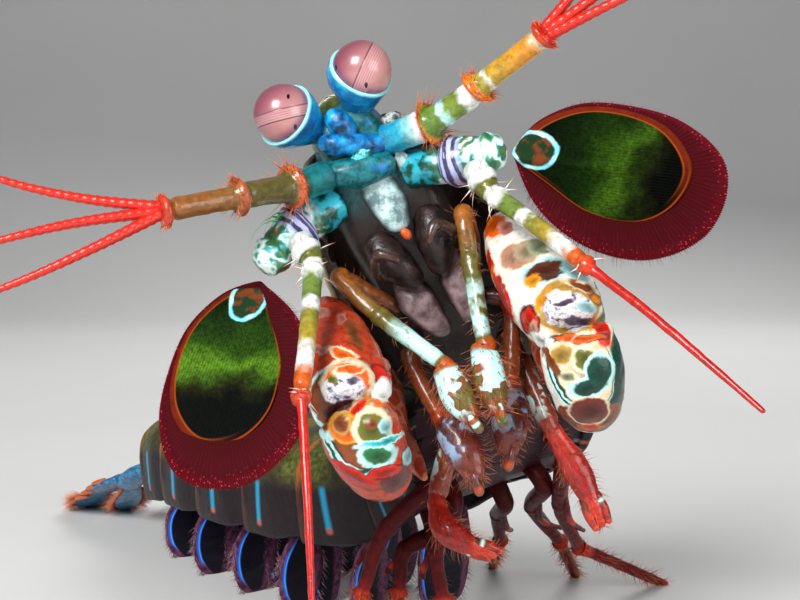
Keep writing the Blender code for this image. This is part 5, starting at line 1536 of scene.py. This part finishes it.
def claw_finish(side):
    """White or red ground with painted ovals in front, and nested outlines behind."""
    ground = chosen("pale_claw" if side > 0 else "red_claw")
    stain = (0.84, 0.76, 0.6) if side > 0 else (0.3, 0.03, 0.01)

    def paint(tree):
        grain = relief_of(tree)
        front = mottled(tree, grain, ground, stain, 0.45, 0.65)
        behind = tree.agate(0.3, CLAW_STOPS)
        colour = tree.blend(tree.step(tree.mark("top"), 0.05, -0.25), front, behind)
        colour = tree.daub(colour, CLAW_MARKS[side])
        shade = tree.noise(1.8, 5.0, rough=0.65)
        shade = tree.ramp(shade, ((0.34, (0.74, 0.72, 0.7)), (0.54, (1.0, 1.0, 1.0))))
        return tree.blend(0.9, colour, shade, "MULTIPLY"), grain["Height"]

    return finish(f"claw arm {side_name(side)}", paint, 0.26, 0.2, 0.3, Specular_IOR_Level=0.25)


def club_paint(tree):
    """Dark red under a faint pale net."""
    grain = relief_of(tree)
    red = tree.blend(grain["Mottle"], (0.16, 0.015, 0.008), (0.4, 0.045, 0.01))
    edge = tree.cells(0.4, tree.warped(2.0, 0.35), "DISTANCE_TO_EDGE").outputs["Distance"]
    net = tree.times(tree.step(edge, 0.115, 0.075), 0.35)
    return tree.blend(net, red, TAN), grain["Height"]


def build_claws():
    club = finish("club", club_paint, 0.25, 0.3, Specular_IOR_Level=0.2)
    for side in (1, -1):
        rows = claw_rows(side)
        arm = claw_finish(side)
        for part, begin, end in CLAW_PARTS:
            domes = (0.9, 0.5) if part == "dactyl" else (1.0, 1.0)
            skin = limb_skin(forebody_limb(rows[begin : end + 1]), 64, 0.28, domes)
            roughen(skin, 3.2, 0.15, side + begin)
            press(skin, CLAW_MARKS[side])
            skin.close()
            node = f"claw_{part}_{side_name(side)}"
            material, slot = (arm, "claw_arm") if part in ("merus", "carpus") else (club, "claw_hand")
            finish_piece(node, skin, material, [node])


# The small maxillipeds, with round hands and hooked tips

MAXILLIPEDS = {
    ("maxilliped_1", 1): (
        (-15.5, 3.6, -6.4, 0.7), (-12.6, 4.4, -9.4, 0.65), (-10.4, 3.2, -11.6, 0.55),
        (-11.6, 1.6, -12.6, 0.35),
    ),
    ("maxilliped_1", -1): (
        (-15.5, -3.6, -6.4, 0.7), (-12.4, -4.6, -9.4, 0.65), (-10.2, -3.4, -11.6, 0.55),
        (-11.6, -1.8, -12.6, 0.35),
    ),
    ("maxilliped_3", 1): (
        (-19.5, 4.8, -5.6, 0.9), (-16.0, 6.2, -6.2, 0.9), (-12.6, 6.6, -7.4, 1.0),
        (-13.2, 6.0, -9.2, 0.95), (-16.1, 4.7, -11.2, 1.0), (-21.4, 1.9, -17.2, 0.9),
        (-22.4, 1.6, -18.0, 1.05), (-23.0, 1.0, -18.5, 1.5, 1.0), (-25.6, 0.0, -20.6, 1.7, 1.1),
        (-28.2, -0.8, -22.2, 0.8, 0.7),
    ),
    ("maxilliped_3", -1): (
        (-19.5, -4.8, -5.6, 0.9), (-16.0, -6.6, -5.8, 0.9), (-12.2, -8.5, -6.5, 1.0),
        (-13.6, -8.1, -8.6, 0.95), (-16.6, -6.7, -11.4, 1.0), (-21.4, -3.6, -17.3, 0.9),
        (-22.2, -3.3, -18.0, 1.05), (-22.8, -3.4, -18.6, 1.5, 1.0), (-25.2, -3.6, -20.6, 1.7, 1.1),
        (-27.4, -3.4, -22.0, 0.8, 0.7),
    ),
    ("maxilliped_4", 1): (
        (-23.0, 4.4, -5.8, 1.0), (-24.6, 6.2, -7.6, 0.95), (-27.0, 4.6, -10.4, 0.95),
        (-30.5, 1.9, -13.4, 0.9), (-31.6, 0.9, -14.8, 1.7, 1.2), (-33.6, -0.9, -16.8, 2.0, 1.4),
        (-35.6, -2.6, -18.2, 0.8, 0.6),
    ),
    ("maxilliped_4", -1): (
        (-23.0, -4.4, -5.8, 1.0), (-24.2, -6.4, -7.4, 0.95), (-27.0, -6.8, -10.6, 0.95),
        (-29.8, -6.8, -13.4, 0.9), (-30.8, -6.4, -15.0, 1.7, 1.2), (-33.2, -6.2, -17.4, 2.0, 1.4),
        (-35.8, -6.8, -19.2, 0.8, 0.6),
    ),
    ("maxilliped_5", 1): (
        (-28.5, 4.2, -5.6, 1.1), (-31.5, 4.2, -8.6, 1.1), (-36.6, 3.4, -13.4, 1.2),
        (-38.0, 3.3, -14.2, 1.0), (-42.2, 3.4, -16.4, 1.6, 1.2), (-45.0, 3.2, -18.2, 1.2, 0.9),
        (-48.4, 2.8, -20.0, 0.4, 0.4),
    ),
    ("maxilliped_5", -1): (
        (-29.0, -4.2, -5.6, 1.1), (-33.0, -5.4, -8.6, 1.1), (-38.0, -10.6, -11.4, 1.2),
        (-39.4, -12.2, -13.0, 1.0), (-41.0, -12.6, -15.8, 1.6, 1.2), (-43.2, -11.2, -17.6, 1.2, 0.9),
        (-45.6, -9.0, -18.8, 0.4, 0.4),
    ),
}
# For each kind: the joints, the last station, the colours along it and its blotched stretches
MOUTH_LEG_LOOKS = {
    # The first maxillipeds are painted near-black: painted shade, as they lie in the shade under the head
    "maxilliped_1": (
        (1, 2),
        3,
        (
            (0.0, (0.02, 0.01, 0.008)), (1.5, (0.05, 0.03, 0.026)), (3.0, (0.06, 0.02, 0.015)),
        ),
        (),
    ),
    "maxilliped_3": (
        (2, 4, 6),
        9,
        (
            (0.0, (0.06, 0.015, 0.008)), (1.5, (0.3, 0.075, 0.012)), (2.3, (0.4, 0.12, 0.015)),
            (3.4, (0.22, 0.1, 0.02)), (4.2, (0.12, 0.12, 0.02)), (5.4, (0.15, 0.13, 0.015)),
            (5.9, (0.5, 0.07, 0.008)), (6.4, (0.6, 0.09, 0.01)), (6.8, (0.12, 0.12, 0.02)),
            (8.3, (0.14, 0.12, 0.02)), (9.0, (0.45, 0.05, 0.015)),
        ),
        (
            (4.4, 5.2, CYAN_WHITE, (0.3, 0.42, 0.34), 0.46), (6.8, 8.6, CYAN_WHITE, BROWN, 0.42),
        ),
    ),
    "maxilliped_4": (
        (1, 3),
        6,
        (
            (0.0, (0.05, 0.01, 0.006)), (1.5, (0.2, 0.04, 0.012)), (2.6, (0.34, 0.07, 0.015)),
            (3.0, (0.5, 0.05, 0.01)), (3.6, (0.1, 0.025, 0.015)), (6.0, (0.22, 0.03, 0.015)),
        ),
        ((3.6, 5.0, (0.34, 0.48, 0.66), PLUM, 0.52),),
    ),
    "maxilliped_5": (
        (1, 3),
        6,
        (
            (0.0, (0.06, 0.01, 0.006)), (1.4, (0.18, 0.03, 0.012)), (2.4, (0.3, 0.03, 0.01)),
            (3.2, (0.5, 0.02, 0.005)), (4.2, (0.34, 0.01, 0.005)), (4.9, (0.3, 0.008, 0.005)),
            (5.3, (0.66, 0.025, 0.004)), (6.0, (0.62, 0.02, 0.004)),
        ),
        ((1.4, 1.9, CYAN_WHITE, BROWN, 0.52),),
    ),
}


def hooked_hand(rows):
    """The curved tip that folds back along the inner edge of a maxilliped's hand."""
    end, hand = Vector(rows[-1][:3]), Vector(rows[-2][:3])
    back = (hand - end).normalized()
    aside = Vector((0.0, 0.0, -1.0))
    hook = (
        (end + back * 0.6, 0.6),
        (end + aside * 0.9 - back * 0.5, 0.55),
        (end + aside * 1.7 + back * 1.0, 0.42),
        (hand.lerp(end, 0.3) + aside * 1.9, 0.16),
    )
    return [(*point, width) for point, width in hook]


def fingers(rows):
    """The two blunt fingers at the end of the last maxilliped."""
    hand, end = Vector(rows[-2][:3]), Vector(rows[-1][:3])
    made = []
    for aside in (Vector((0.0, 0.8, 0.0)), Vector((0.0, -0.8, 0.0))):
        middle = hand.lerp(end, 0.5) + aside * 1.1
        made.append([(*(hand + aside * 0.7), 0.7), (*middle, 0.62), (*(end + aside), 0.35)])
    return made


def build_mouth_legs(thin):
    plants = []
    for (kind, side), rows in MAXILLIPEDS.items():
        joints, last, stops, patches = MOUTH_LEG_LOOKS[kind]
        leg = collared(forebody_limb(rows), joints, 0.12)
        skin = limb_skin(leg, 28, 0.22, (0.4, 0.4))
        tips = {"maxilliped_1": [], "maxilliped_5": fingers(rows)}.get(kind, [hooked_hand(rows)])
        for tip in tips:
            limb_skin(forebody_limb(tip), 14, 0.2, (0.3, 0.3), skin)
        material = banded(kind.replace("_", " "), last, stops, patches)
        complete(f"{kind}_{side_name(side)}", skin, (1.4, 0.07, side), material)
        if kind == "maxilliped_1":
            continue
        hand = leg.station(len(rows) - 3.4), leg.length
        plants += plants_on(leg, hand, 170, 1.5, thin, int(kind[-1]) + side, 0.6)
        plants += plants_on(leg, (leg.station(1), hand[0]), 60, 1.1, thin, side + 20, 0.9)
    look = "mouth bristle", (0.34, 0.05, 0.015), (0.72, 0.26, 0.12)
    bristles("mouth_leg_bristles", plants, bristle_form(3, 2), "mouth_leg", *look)


# The walking legs, each with a slender second branch

# How far along the body each pair hangs, and the hip, knee and foot of every leg
LEG_ROOTS = {6: 41.2, 7: 46.8, 8: 52.2}
LEG_PATHS = {
    (6, 1): ((20.5, 21.0, 16.5), (24.5, 32.0, 8.0), (38.3, 42.0, 0.0)),
    (6, -1): ((-1.5, 6.5, 17.0), (-4.5, 7.0, 9.0), (-6.2, 9.5, 0.0)),
    (7, 1): ((17.6, 27.5, 14.7), (22.5, 37.0, 7.5), (26.0, 46.0, 0.0)),
    (7, -1): ((4.4, 10.6, 13.0), (5.2, 11.6, 7.0), (6.4, 14.5, 0.0)),
    (8, 1): ((13.5, 34.5, 12.0), (14.5, 42.0, 6.5), (14.0, 51.0, 0.0)),
    (8, -1): ((0.6, 15.2, 12.0), (-0.2, 14.4, 7.0), (-0.6, 17.6, 0.0)),
}
LEG_BANDS = (
    (0.0, (0.05, 0.005, 0.005)), (2.8, (0.11, 0.008, 0.01)), (3.6, (0.45, 0.03, 0.012)),
    (4.4, (0.5, 0.04, 0.015)), (5.0, (0.14, 0.009, 0.01)), (6.4, (0.12, 0.008, 0.008)),
    (7.0, (0.45, 0.05, 0.03)),
)


def build_legs(thin):
    material = banded("walking leg", 7, LEG_BANDS, coat_weight=0.0, Specular_IOR_Level=0.1)
    plants = []
    for (number, side), (hip, knee, foot) in LEG_PATHS.items():
        root = on_body(LEG_ROOTS[number], side * 6.5, -THORAX_STERNUM * 0.7)
        below = on_body(LEG_ROOTS[number], side * 7.2, -THORAX_STERNUM - 2.2)
        hip, knee, foot = (floor_place(*p) for p in (hip, knee, foot))
        rows = (
            (root, 1.3, 1.3),
            (below, 1.2, 1.2),
            (hip, 1.0, 1.0),
            (hip.lerp(knee, 0.9), 0.85, 0.85),
            (knee, 1.05, 1.05),
            (knee.lerp(foot, 0.15), 0.8, 0.8),
            (knee.lerp(foot, 0.8), 0.75, 0.6),
            (foot + (foot - knee).normalized() * 0.5, 0.5, 0.4),
        )
        branch = (
            (below.lerp(hip, 0.5), 0.6, 0.6),
            (hip + Vector((side * 1.4, 1.6, -2.2)), 0.45, 0.45),
            (hip.lerp(knee, 0.6) + Vector((side * 2.0, 2.4, -0.6)), 0.3, 0.3),
        )
        leg = collared(Limb(rows, HEAD_LEFT), (2, 4), 0.12)
        skin = limb_skin(leg, 26, 0.28, (0.5, 0.4))
        limb_skin(Limb(branch, HEAD_LEFT), 12, 0.3, (0.3, 0.3), skin)
        node = f"leg_{number}_{side_name(side)}"
        complete(node, skin, (1.4, 0.06, number * side), material, True)
        plants += plants_on(leg, (leg.station(3.6), leg.station(4.4)), 60, 1.2, thin, number, 0.7)
        plants += plants_on(leg, (leg.station(5), leg.length), 190, 1.9, thin, number * 2, 0.9)
    look = "leg bristle", (0.3, 0.03, 0.01), (0.75, 0.3, 0.15)
    bristles("leg_bristles", plants, bristle_form(3, 2), "walking_leg", *look)


# The pleopods, hung under the first five somites of the abdomen


def leaf_rows(top, down, across, length, half_width, wall, lean):
    """A thin lobe: narrow at its root, broad at mid height and rounded at its end."""
    through = down.cross(across).normalized()
    rows = []
    for share, spread in ((0.0, 0.4), (0.35, 0.95), (0.75, 0.9), (1.0, 0.45)):
        centre = top + down * (length * share) + through * (lean * share * share)
        rows.append((centre, half_width * spread, wall / 2))
    return rows


def pleopod_paint(tree):
    """Deep purple lobes with a black inner field and a bright blue arc at the outer edge."""
    grain = relief_of(tree)
    along, side = tree.mark("along"), tree.mark("side")
    colour = mottled(tree, grain, (0.03, 0.006, 0.016), (0.16, 0.045, 0.11))
    bow = tree.maths("SUBTRACT", along, 0.5)
    bow = tree.times(tree.times(bow, bow), -2.6, side)
    field = tree.times(tree.step(bow, -0.72, -0.62), tree.step(side, 0.45, 0.15))
    colour = tree.blend(field, colour, (0.004, 0.003, 0.008))
    long = tree.bump_of(along, 0.46, 0.28, 0.12)
    arc = tree.times(tree.bump_of(bow, -0.74, 0.1, 0.05), long)
    colour = tree.blend(arc, colour, chosen("arc"))
    bright = tree.times(tree.bump_of(bow, -0.7, 0.03, 0.04), long)
    colour = tree.blend(bright, colour, (0.1, 0.45, 0.9))
    return colour, grain["Height"]


def build_pleopods():
    material = finish("pleopod cuticle", pleopod_paint, 0.4, 0.1, Specular_IOR_Level=0.15)
    plants = []
    for index in range(5):
        centre, forward, left, up = body_frame(ABDOMEN_START + (index + 0.42) * ABDOMEN_STEP)
        for side in (1, -1):
            sternum = centre + left * (side * 6.4) - up * (ABDOMEN_STERNUM + 0.3)
            down = (Vector((0, 0, -1)) - forward * 0.16).normalized()
            height = sternum.z
            stalk = [(sternum, 2.3, 1.0), (sternum - up * 1.5, 2.2, 1.0), (sternum - up * 3.0, 1.4, 0.7)]
            outer = sternum - up * 1.6 + left * (side * 2.2)
            inner = sternum - up * 1.6 - left * (side * 2.2) - forward * 0.6
            skin = limb_skin(Limb(stalk, left), 28, 0.25, (0.4, 0.4))
            lobes = (outer, height - 1.3, 3.6, 0.8), (inner, height - 1.5, 2.7, 1.6)
            for root, length, width, lean in lobes:
                leaf = Limb(leaf_rows(root, down, left, length, width, 0.8, lean), left, 3.0)
                limb_skin(leaf, 40, 0.3, (0.6, 1.2), skin)
                rim = leaf.length * 0.3, leaf.length
                for angles in ((-0.25, 0.25), (math.pi - 0.25, math.pi + 0.25)):
                    plants += plants_on(leaf, rim, 90, 1.3, 0.04, index, 0.8, angles)
            node = f"pleopod_{index + 1}_{side_name(side)}"
            complete(node, skin, (1.6, 0.08, index * side), material, True)
    look = "pleopod seta", (0.2, 0.05, 0.08), (0.55, 0.35, 0.4)
    bristles("pleopod_setae", plants, bristle_form(3, 2), "pleopod", *look)


# The tail fan

# The telson's sections: shares of its length and half width, its height and its depth below
TELSON_SECTIONS = (
    (0.0, 0.88, 4.6, 2.2), (0.3, 1.0, 4.4, 1.7), (0.65, 0.97, 3.0, 1.2), (0.88, 0.82, 1.8, 0.9),
    (1.0, 0.62, 0.9, 0.6),
)
# Its ridges: the distance from the middle and the height
TELSON_RIDGES = ((0.0, 0.9), (3.4, 0.5), (6.6, 0.45), (9.2, 0.3))
# Its teeth: the distance from the middle, the share of its length and the tooth's length
TELSON_TEETH = ((2.6, 0.93, 3.6), (6.4, 0.84, 4.4), (9.6, 0.66, 3.6))
# The lobes of a uropod, as rows of rear, outward, up, half width and half depth
UROPOD_LOBES = (
    (
        (-6.0, 10.0, -2.6, 1.6, 1.2), (-2.0, 12.4, -2.2, 2.2, 1.4), (3.0, 13.6, -1.8, 2.4, 1.4),
        (5.0, 13.8, -1.6, 1.6, 1.0),
    ),
    (
        (2.0, 14.6, -1.6, 1.8, 1.0), (6.0, 16.2, -1.2, 2.6, 0.8), (10.5, 17.8, -0.6, 2.6, 0.6),
        (13.0, 18.6, -0.2, 2.0, 0.45),
    ),
    (
        (12.6, 18.5, -0.2, 1.6, 0.45), (14.5, 18.8, 0.0, 2.6, 0.45), (18.0, 19.2, 0.3, 3.2, 0.4),
        (21.5, 19.0, 0.5, 2.2, 0.3), (23.5, 18.6, 0.6, 0.7, 0.3),
    ),
    (
        (3.0, 12.8, -2.2, 1.0, 0.7), (7.0, 13.0, -2.4, 1.8, 0.6), (12.0, 13.2, -2.2, 2.3, 0.45),
        (17.0, 13.2, -1.6, 1.9, 0.35), (20.5, 13.0, -1.2, 0.6, 0.3),
    ),
)


def telson_paint(tree):
    """Green that turns blue to the rear, with orange-red teeth."""
    grain = relief_of(tree)
    colour = mottled(tree, grain, (0.02, 0.05, 0.02), (0.1, 0.16, 0.05))
    colour = tree.blend(tree.step(tree.mark("along"), 0.75, 1.0), colour, (0.02, 0.16, 0.28))
    colour = tree.blend(tree.mark("part"), colour, (0.45, 0.1, 0.02))
    return colour, grain["Height"]


def build_telson():
    start = TAIL_START + 0.15
    reach = TELSON_LENGTH - 3.0
    skin = Skin()
    rings, marks = [], []
    for share, spread, roof, under in smooth_rows(TELSON_SECTIONS, 9):
        fade = ease(share, 0.05, 0.2) * (1 - ease(share, 0.75, 0.9))
        ring = []
        for i in range(128):
            t = 2 * math.pi * i / 128
            x = rounded(math.cos(t), 0.8) * TELSON_HALF_WIDTH * spread
            above = math.sin(t) > 0
            y = math.sin(t) * (roof if above else under)
            for place, height in TELSON_RIDGES:
                y += height * fade * above * math.exp(-(((abs(x) - place) / 0.55) ** 2))
            ring.append((on_body(start + reach * share, x, y), x / TELSON_HALF_WIDTH, y / 4.6))
        rings.append(ring)
        marks.append(share)
    skin.loft(rings, marks)
    across = body_frame(start + 8)[2]
    for side in (1, -1):
        for x, share, length in TELSON_TEETH:
            s = start + reach * share
            tooth = (
                (on_body(s - 1.5, side * x, 0.2), 1.2, 0.9),
                (on_body(s + 1.0, side * x, 0.1), 1.1, 0.8),
                (on_body(s + length, side * x * 0.97, 0.0), 0.25, 0.25),
            )
            limb_skin(Limb(tooth, across), 20, 0.25, (0.4, 0.25), skin, 0.8)
    complete("telson", skin, (2.0, 0.06), finish("telson", telson_paint, 0.3, 0.5), True)


def uropod_paint(tree):
    """Mottled blue with orange-red spines."""
    grain = relief_of(tree)
    colour = mottled(tree, grain, (0.01, 0.06, 0.16), chosen("tail"), 0.35, 0.65)
    colour = tree.blend(tree.mark("part"), colour, (0.5, 0.1, 0.02))
    return colour, grain["Height"]


def build_uropods():
    material = finish("uropod", uropod_paint, 0.3, 0.5)
    centre, forward, left, up = body_frame(TAIL_START + 2.0)
    plants = []
    for side in (1, -1):

        def place(rear, outward, rise):
            return centre - forward * rear + left * (side * outward) + up * rise

        skin = Skin()
        for number, rows in enumerate(UROPOD_LOBES):
            lobe = Limb([(place(*row[:3]), row[3], row[4]) for row in rows], left)
            limb_skin(lobe, 32, 0.3, (0.5, 0.4), skin)
            if number < 2:
                continue
            rim = lobe.length * 0.1, lobe.length
            for angles in ((-0.2, 0.2), (math.pi - 0.2, math.pi + 0.2)):
                plants += plants_on(lobe, rim, 200, 2.8, 0.07, number, 0.9, angles, 0.06)
        for rear in (4.5, 7.0, 9.5, 12.0):
            outer = 14.9 + rear * 0.33 + 2.2
            spine_rows = (
                (place(rear, outer - 1.2, -0.9), 0.6, 0.5),
                (place(rear + 1.6, outer + 0.5, -0.7), 0.45, 0.4),
                (place(rear + 3.0, outer + 1.1, -0.5), 0.12, 0.12),
            )
            limb_skin(Limb(spine_rows, left), 14, 0.25, (0.3, 0.12), skin, 1.0)
        complete(f"uropod_{side_name(side)}", skin, (1.6, 0.06, side), material, True)
    look = "tail seta", (0.45, 0.05, 0.02), (0.8, 0.3, 0.15)
    bristles("tail_setae", plants, bristle_form(3, 2), "tail_fan", *look)


# The stage, in metres

BACKDROP_WIDTH = 3.2
BACKDROP_FRONT = -1.2
BACKDROP_BACK = 0.45
BACKDROP_BEND = 0.35
BACKDROP_HEIGHT = 1.6


def stage_object(name, data):
    """An object of the stage, set in the scene."""
    made = bpy.data.objects.new(name, data)
    bpy.context.scene.collection.objects.link(made)
    return made


def area_light(name, place, target, size, energy):
    data = bpy.data.lights.new(name, "AREA")
    data.shape = "SQUARE"
    data.size = size
    data.energy = energy
    made = stage_object(name, data)
    made.location = place
    made.rotation_euler = (Vector(target) - Vector(place)).to_track_quat("-Z", "Y").to_euler()
    return made


def build_stage(settings):
    """A pale floor that curves up behind, soft lights and the camera."""
    bm = bmesh.new()
    profile = [(BACKDROP_FRONT, 0.0)]
    for i in range(13):
        t = math.radians(90 * i / 12)
        rise = BACKDROP_BEND * (1 - math.cos(t))
        profile.append((BACKDROP_BACK + BACKDROP_BEND * math.sin(t), rise))
    profile.append((BACKDROP_BACK + BACKDROP_BEND, BACKDROP_HEIGHT))
    row = [bm.verts.new((-BACKDROP_WIDTH / 2, y, z)) for y, z in profile]
    edges = [bm.edges.new(pair) for pair in zip(row, row[1:])]
    grown = bmesh.ops.extrude_edge_only(bm, edges=edges)["geom"]
    moved = [item for item in grown if isinstance(item, bmesh.types.BMVert)]
    bmesh.ops.translate(bm, vec=(BACKDROP_WIDTH, 0, 0), verts=moved)
    bmesh.ops.recalc_face_normals(bm, faces=bm.faces)
    turned = [face for face in bm.faces if face.normal.z < -0.1 or face.normal.y > 0.1]
    bmesh.ops.reverse_faces(bm, faces=turned)
    mesh = bpy.data.meshes.new("backdrop")
    bm.to_mesh(mesh)
    bm.free()
    mesh.shade_smooth()

    def paint(tree):
        tone = tree.noise(0.01, 2.0)
        return tree.blend(tone, (0.6, 0.6, 0.59), (0.66, 0.66, 0.65)), None

    mesh.materials.append(finish("floor", paint, 0.7, 0.0))
    stage_object("backdrop", mesh)

    target = (0.0, -0.02, 0.05)
    area_light("key", (-0.2, -0.42, 0.34), target, 0.22, settings.key_power)
    area_light("fill", (0.36, -0.36, 0.16), target, 0.3, settings.key_power * 0.3)
    rim = area_light("rim", (0.1, 0.42, 0.38), target, 0.3, settings.key_power * 0.4)
    rim.visible_glossy = False
    bpy.context.scene.view_settings.view_transform = "Standard"
    world = bpy.context.scene.world or bpy.data.worlds.new("studio")
    bpy.context.scene.world = world
    world.use_nodes = True
    background = world.node_tree.nodes.get("Background")
    background.inputs["Color"].default_value = (0.85, 0.88, 0.92, 1.0)
    background.inputs["Strength"].default_value = 0.13

    data = bpy.data.cameras.new("camera")
    data.lens = settings.lens
    data.sensor_width = 36.0
    data.clip_start = 0.01
    camera = stage_object("camera", data)
    camera.location = settings.camera_place
    camera.rotation_euler = (math.radians(90.0) - settings.camera_dip, 0.0, 0.0)
    bpy.context.scene.camera = camera


# The add-on: what a user may change, one operator for each group of pieces, and the panel


def size_property(name, text, default):
    return bpy.props.FloatProperty(name=name, description=text, default=default, unit="LENGTH")


def colour_property(name, text, default):
    settings = {"name": name, "description": text, "default": default, "subtype": "COLOR"}
    return bpy.props.FloatVectorProperty(**settings)


class MANTIS_PG_sizes(bpy.types.PropertyGroup):
    """Sizes of the shrimp's forms."""

    cornea_radius: size_property("Cornea radius", "Half the width of each cornea", 0.0033)
    seta_length: size_property("Scale setae", "How far the setae stand out from each scale", 0.0042)
    bristle_radius: size_property("Bristle radius", "Half the width of a leg bristle at its root", 0.000045)


class MANTIS_PG_colours(bpy.types.PropertyGroup):
    """The shrimp's main colours."""

    cornea: colour_property("Cornea", "The lit part of each cornea", (0.52, 0.25, 0.235))
    stalk: colour_property("Eye stalk", "The cup behind each cornea", (0.004, 0.17, 0.42))
    glow: colour_property("Scale glow", "The bright band across each scale", (0.09, 0.215, 0.012))
    web: colour_property("Scale web", "The web round each scale", (0.055, 0.002, 0.005))
    whip: colour_property("Whips", "The whips of the antennules", (0.62, 0.018, 0.006))
    pale_claw: colour_property("Pale claw", "The ground of the left claw", (0.86, 0.88, 0.84))
    red_claw: colour_property("Red claw", "The ground of the right claw", (0.52, 0.045, 0.012))
    back: colour_property("Back", "The olive of the carapace", (0.17, 0.17, 0.04))
    arc: colour_property("Pleopod arc", "The blue line on each pleopod", (0.01, 0.12, 0.8))
    tail: colour_property("Uropods", "The blue of the uropods", (0.03, 0.24, 0.42))


class MANTIS_PG_stage(bpy.types.PropertyGroup):
    """The camera and the lights."""

    camera_place: bpy.props.FloatVectorProperty(
        name="Camera place",
        description="Where the camera stands",
        default=(0.0109, -0.1854, 0.055),
        subtype="TRANSLATION",
        unit="LENGTH",
    )
    camera_dip: bpy.props.FloatProperty(
        name="Camera dip",
        description="How far the camera looks down",
        default=math.radians(4.1),
        subtype="ANGLE",
    )
    lens: bpy.props.FloatProperty(name="Lens", description="Focal length", default=60.75, unit="CAMERA")
    key_power: bpy.props.FloatProperty(
        name="Key power", description="Power of the main light", default=4.4, unit="POWER"
    )


class MANTIS_OT_add_stage(bpy.types.Operator):
    """Adds the floor, the lights and the camera"""

    bl_idname = "mantis.add_stage"
    bl_label = "Stage"

    def execute(self, context):
        build_stage(context.scene.mantis_stage)
        return {"FINISHED"}


class MANTIS_OT_add_head(bpy.types.Operator):
    """Adds the head with its mouth"""

    bl_idname = "mantis.add_head"
    bl_label = "Head"

    def execute(self, context):
        build_head()
        return {"FINISHED"}


class MANTIS_OT_add_carapace(bpy.types.Operator):
    """Adds the carapace and the rostral plate"""

    bl_idname = "mantis.add_carapace"
    bl_label = "Carapace"

    def execute(self, context):
        build_carapace()
        return {"FINISHED"}


class MANTIS_OT_add_trunk(bpy.types.Operator):
    """Adds the plates of the thorax and the abdomen"""

    bl_idname = "mantis.add_trunk"
    bl_label = "Trunk"

    def execute(self, context):
        build_trunk()
        return {"FINISHED"}


class MANTIS_OT_add_eyes(bpy.types.Operator):
    """Adds the eye stalks and the corneas"""

    bl_idname = "mantis.add_eyes"
    bl_label = "Eyes"

    def execute(self, context):
        build_eyes(context.scene.mantis_sizes.cornea_radius / MM)
        return {"FINISHED"}


class MANTIS_OT_add_antennules(bpy.types.Operator):
    """Adds the antennules and their whips"""

    bl_idname = "mantis.add_antennules"
    bl_label = "Antennules"

    def execute(self, context):
        build_antennules()
        return {"FINISHED"}


class MANTIS_OT_add_antennae(bpy.types.Operator):
    """Adds the antennae and their fringed scales"""

    bl_idname = "mantis.add_antennae"
    bl_label = "Antennae"

    def execute(self, context):
        build_antennae(context.scene.mantis_sizes.seta_length / MM)
        return {"FINISHED"}


class MANTIS_OT_add_claws(bpy.types.Operator):
    """Adds the two raptorial claws"""

    bl_idname = "mantis.add_claws"
    bl_label = "Claws"

    def execute(self, context):
        build_claws()
        return {"FINISHED"}


class MANTIS_OT_add_mouth_legs(bpy.types.Operator):
    """Adds the small maxillipeds"""

    bl_idname = "mantis.add_mouth_legs"
    bl_label = "Mouth legs"

    def execute(self, context):
        build_mouth_legs(context.scene.mantis_sizes.bristle_radius / MM)
        return {"FINISHED"}


class MANTIS_OT_add_legs(bpy.types.Operator):
    """Adds the three pairs of walking legs"""

    bl_idname = "mantis.add_legs"
    bl_label = "Walking legs"

    def execute(self, context):
        build_legs(context.scene.mantis_sizes.bristle_radius / MM)
        return {"FINISHED"}


class MANTIS_OT_add_pleopods(bpy.types.Operator):
    """Adds the five pairs of pleopods"""

    bl_idname = "mantis.add_pleopods"
    bl_label = "Pleopods"

    def execute(self, context):
        build_pleopods()
        return {"FINISHED"}


class MANTIS_OT_add_tail(bpy.types.Operator):
    """Adds the telson and the uropods"""

    bl_idname = "mantis.add_tail"
    bl_label = "Tail fan"

    def execute(self, context):
        build_telson()
        build_uropods()
        return {"FINISHED"}


OPERATORS = (
    MANTIS_OT_add_stage,
    MANTIS_OT_add_head,
    MANTIS_OT_add_carapace,
    MANTIS_OT_add_trunk,
    MANTIS_OT_add_eyes,
    MANTIS_OT_add_antennules,
    MANTIS_OT_add_antennae,
    MANTIS_OT_add_claws,
    MANTIS_OT_add_mouth_legs,
    MANTIS_OT_add_legs,
    MANTIS_OT_add_pleopods,
    MANTIS_OT_add_tail,
)
SETTINGS = {
    "mantis_sizes": MANTIS_PG_sizes,
    "mantis_colours": MANTIS_PG_colours,
    "mantis_stage": MANTIS_PG_stage,
}


class MANTIS_PT_panel(bpy.types.Panel):
    """Lists the pieces of the shrimp and what may be changed"""

    bl_label = "Mantis Shrimp"
    bl_idname = "MANTIS_PT_panel"
    bl_space_type = "VIEW_3D"
    bl_region_type = "UI"
    bl_category = "Mantis Shrimp"

    def draw(self, context):
        for made in OPERATORS:
            self.layout.operator(made.bl_idname)
        for name, group in SETTINGS.items():
            for key in group.__annotations__:
                self.layout.prop(getattr(context.scene, name), key)


CLASSES = (*SETTINGS.values(), *OPERATORS, MANTIS_PT_panel)


def register():
    for made in CLASSES:
        bpy.utils.register_class(made)
    for name, group in SETTINGS.items():
        setattr(bpy.types.Scene, name, bpy.props.PointerProperty(type=group))


def unregister():
    for name in SETTINGS:
        delattr(bpy.types.Scene, name)
    for made in reversed(CLASSES):
        bpy.utils.unregister_class(made)


def main():
    register()
    for made in OPERATORS:
        getattr(bpy.ops.mantis, made.bl_idname.split(".")[1])()


if __name__ == "__main__":
    main()
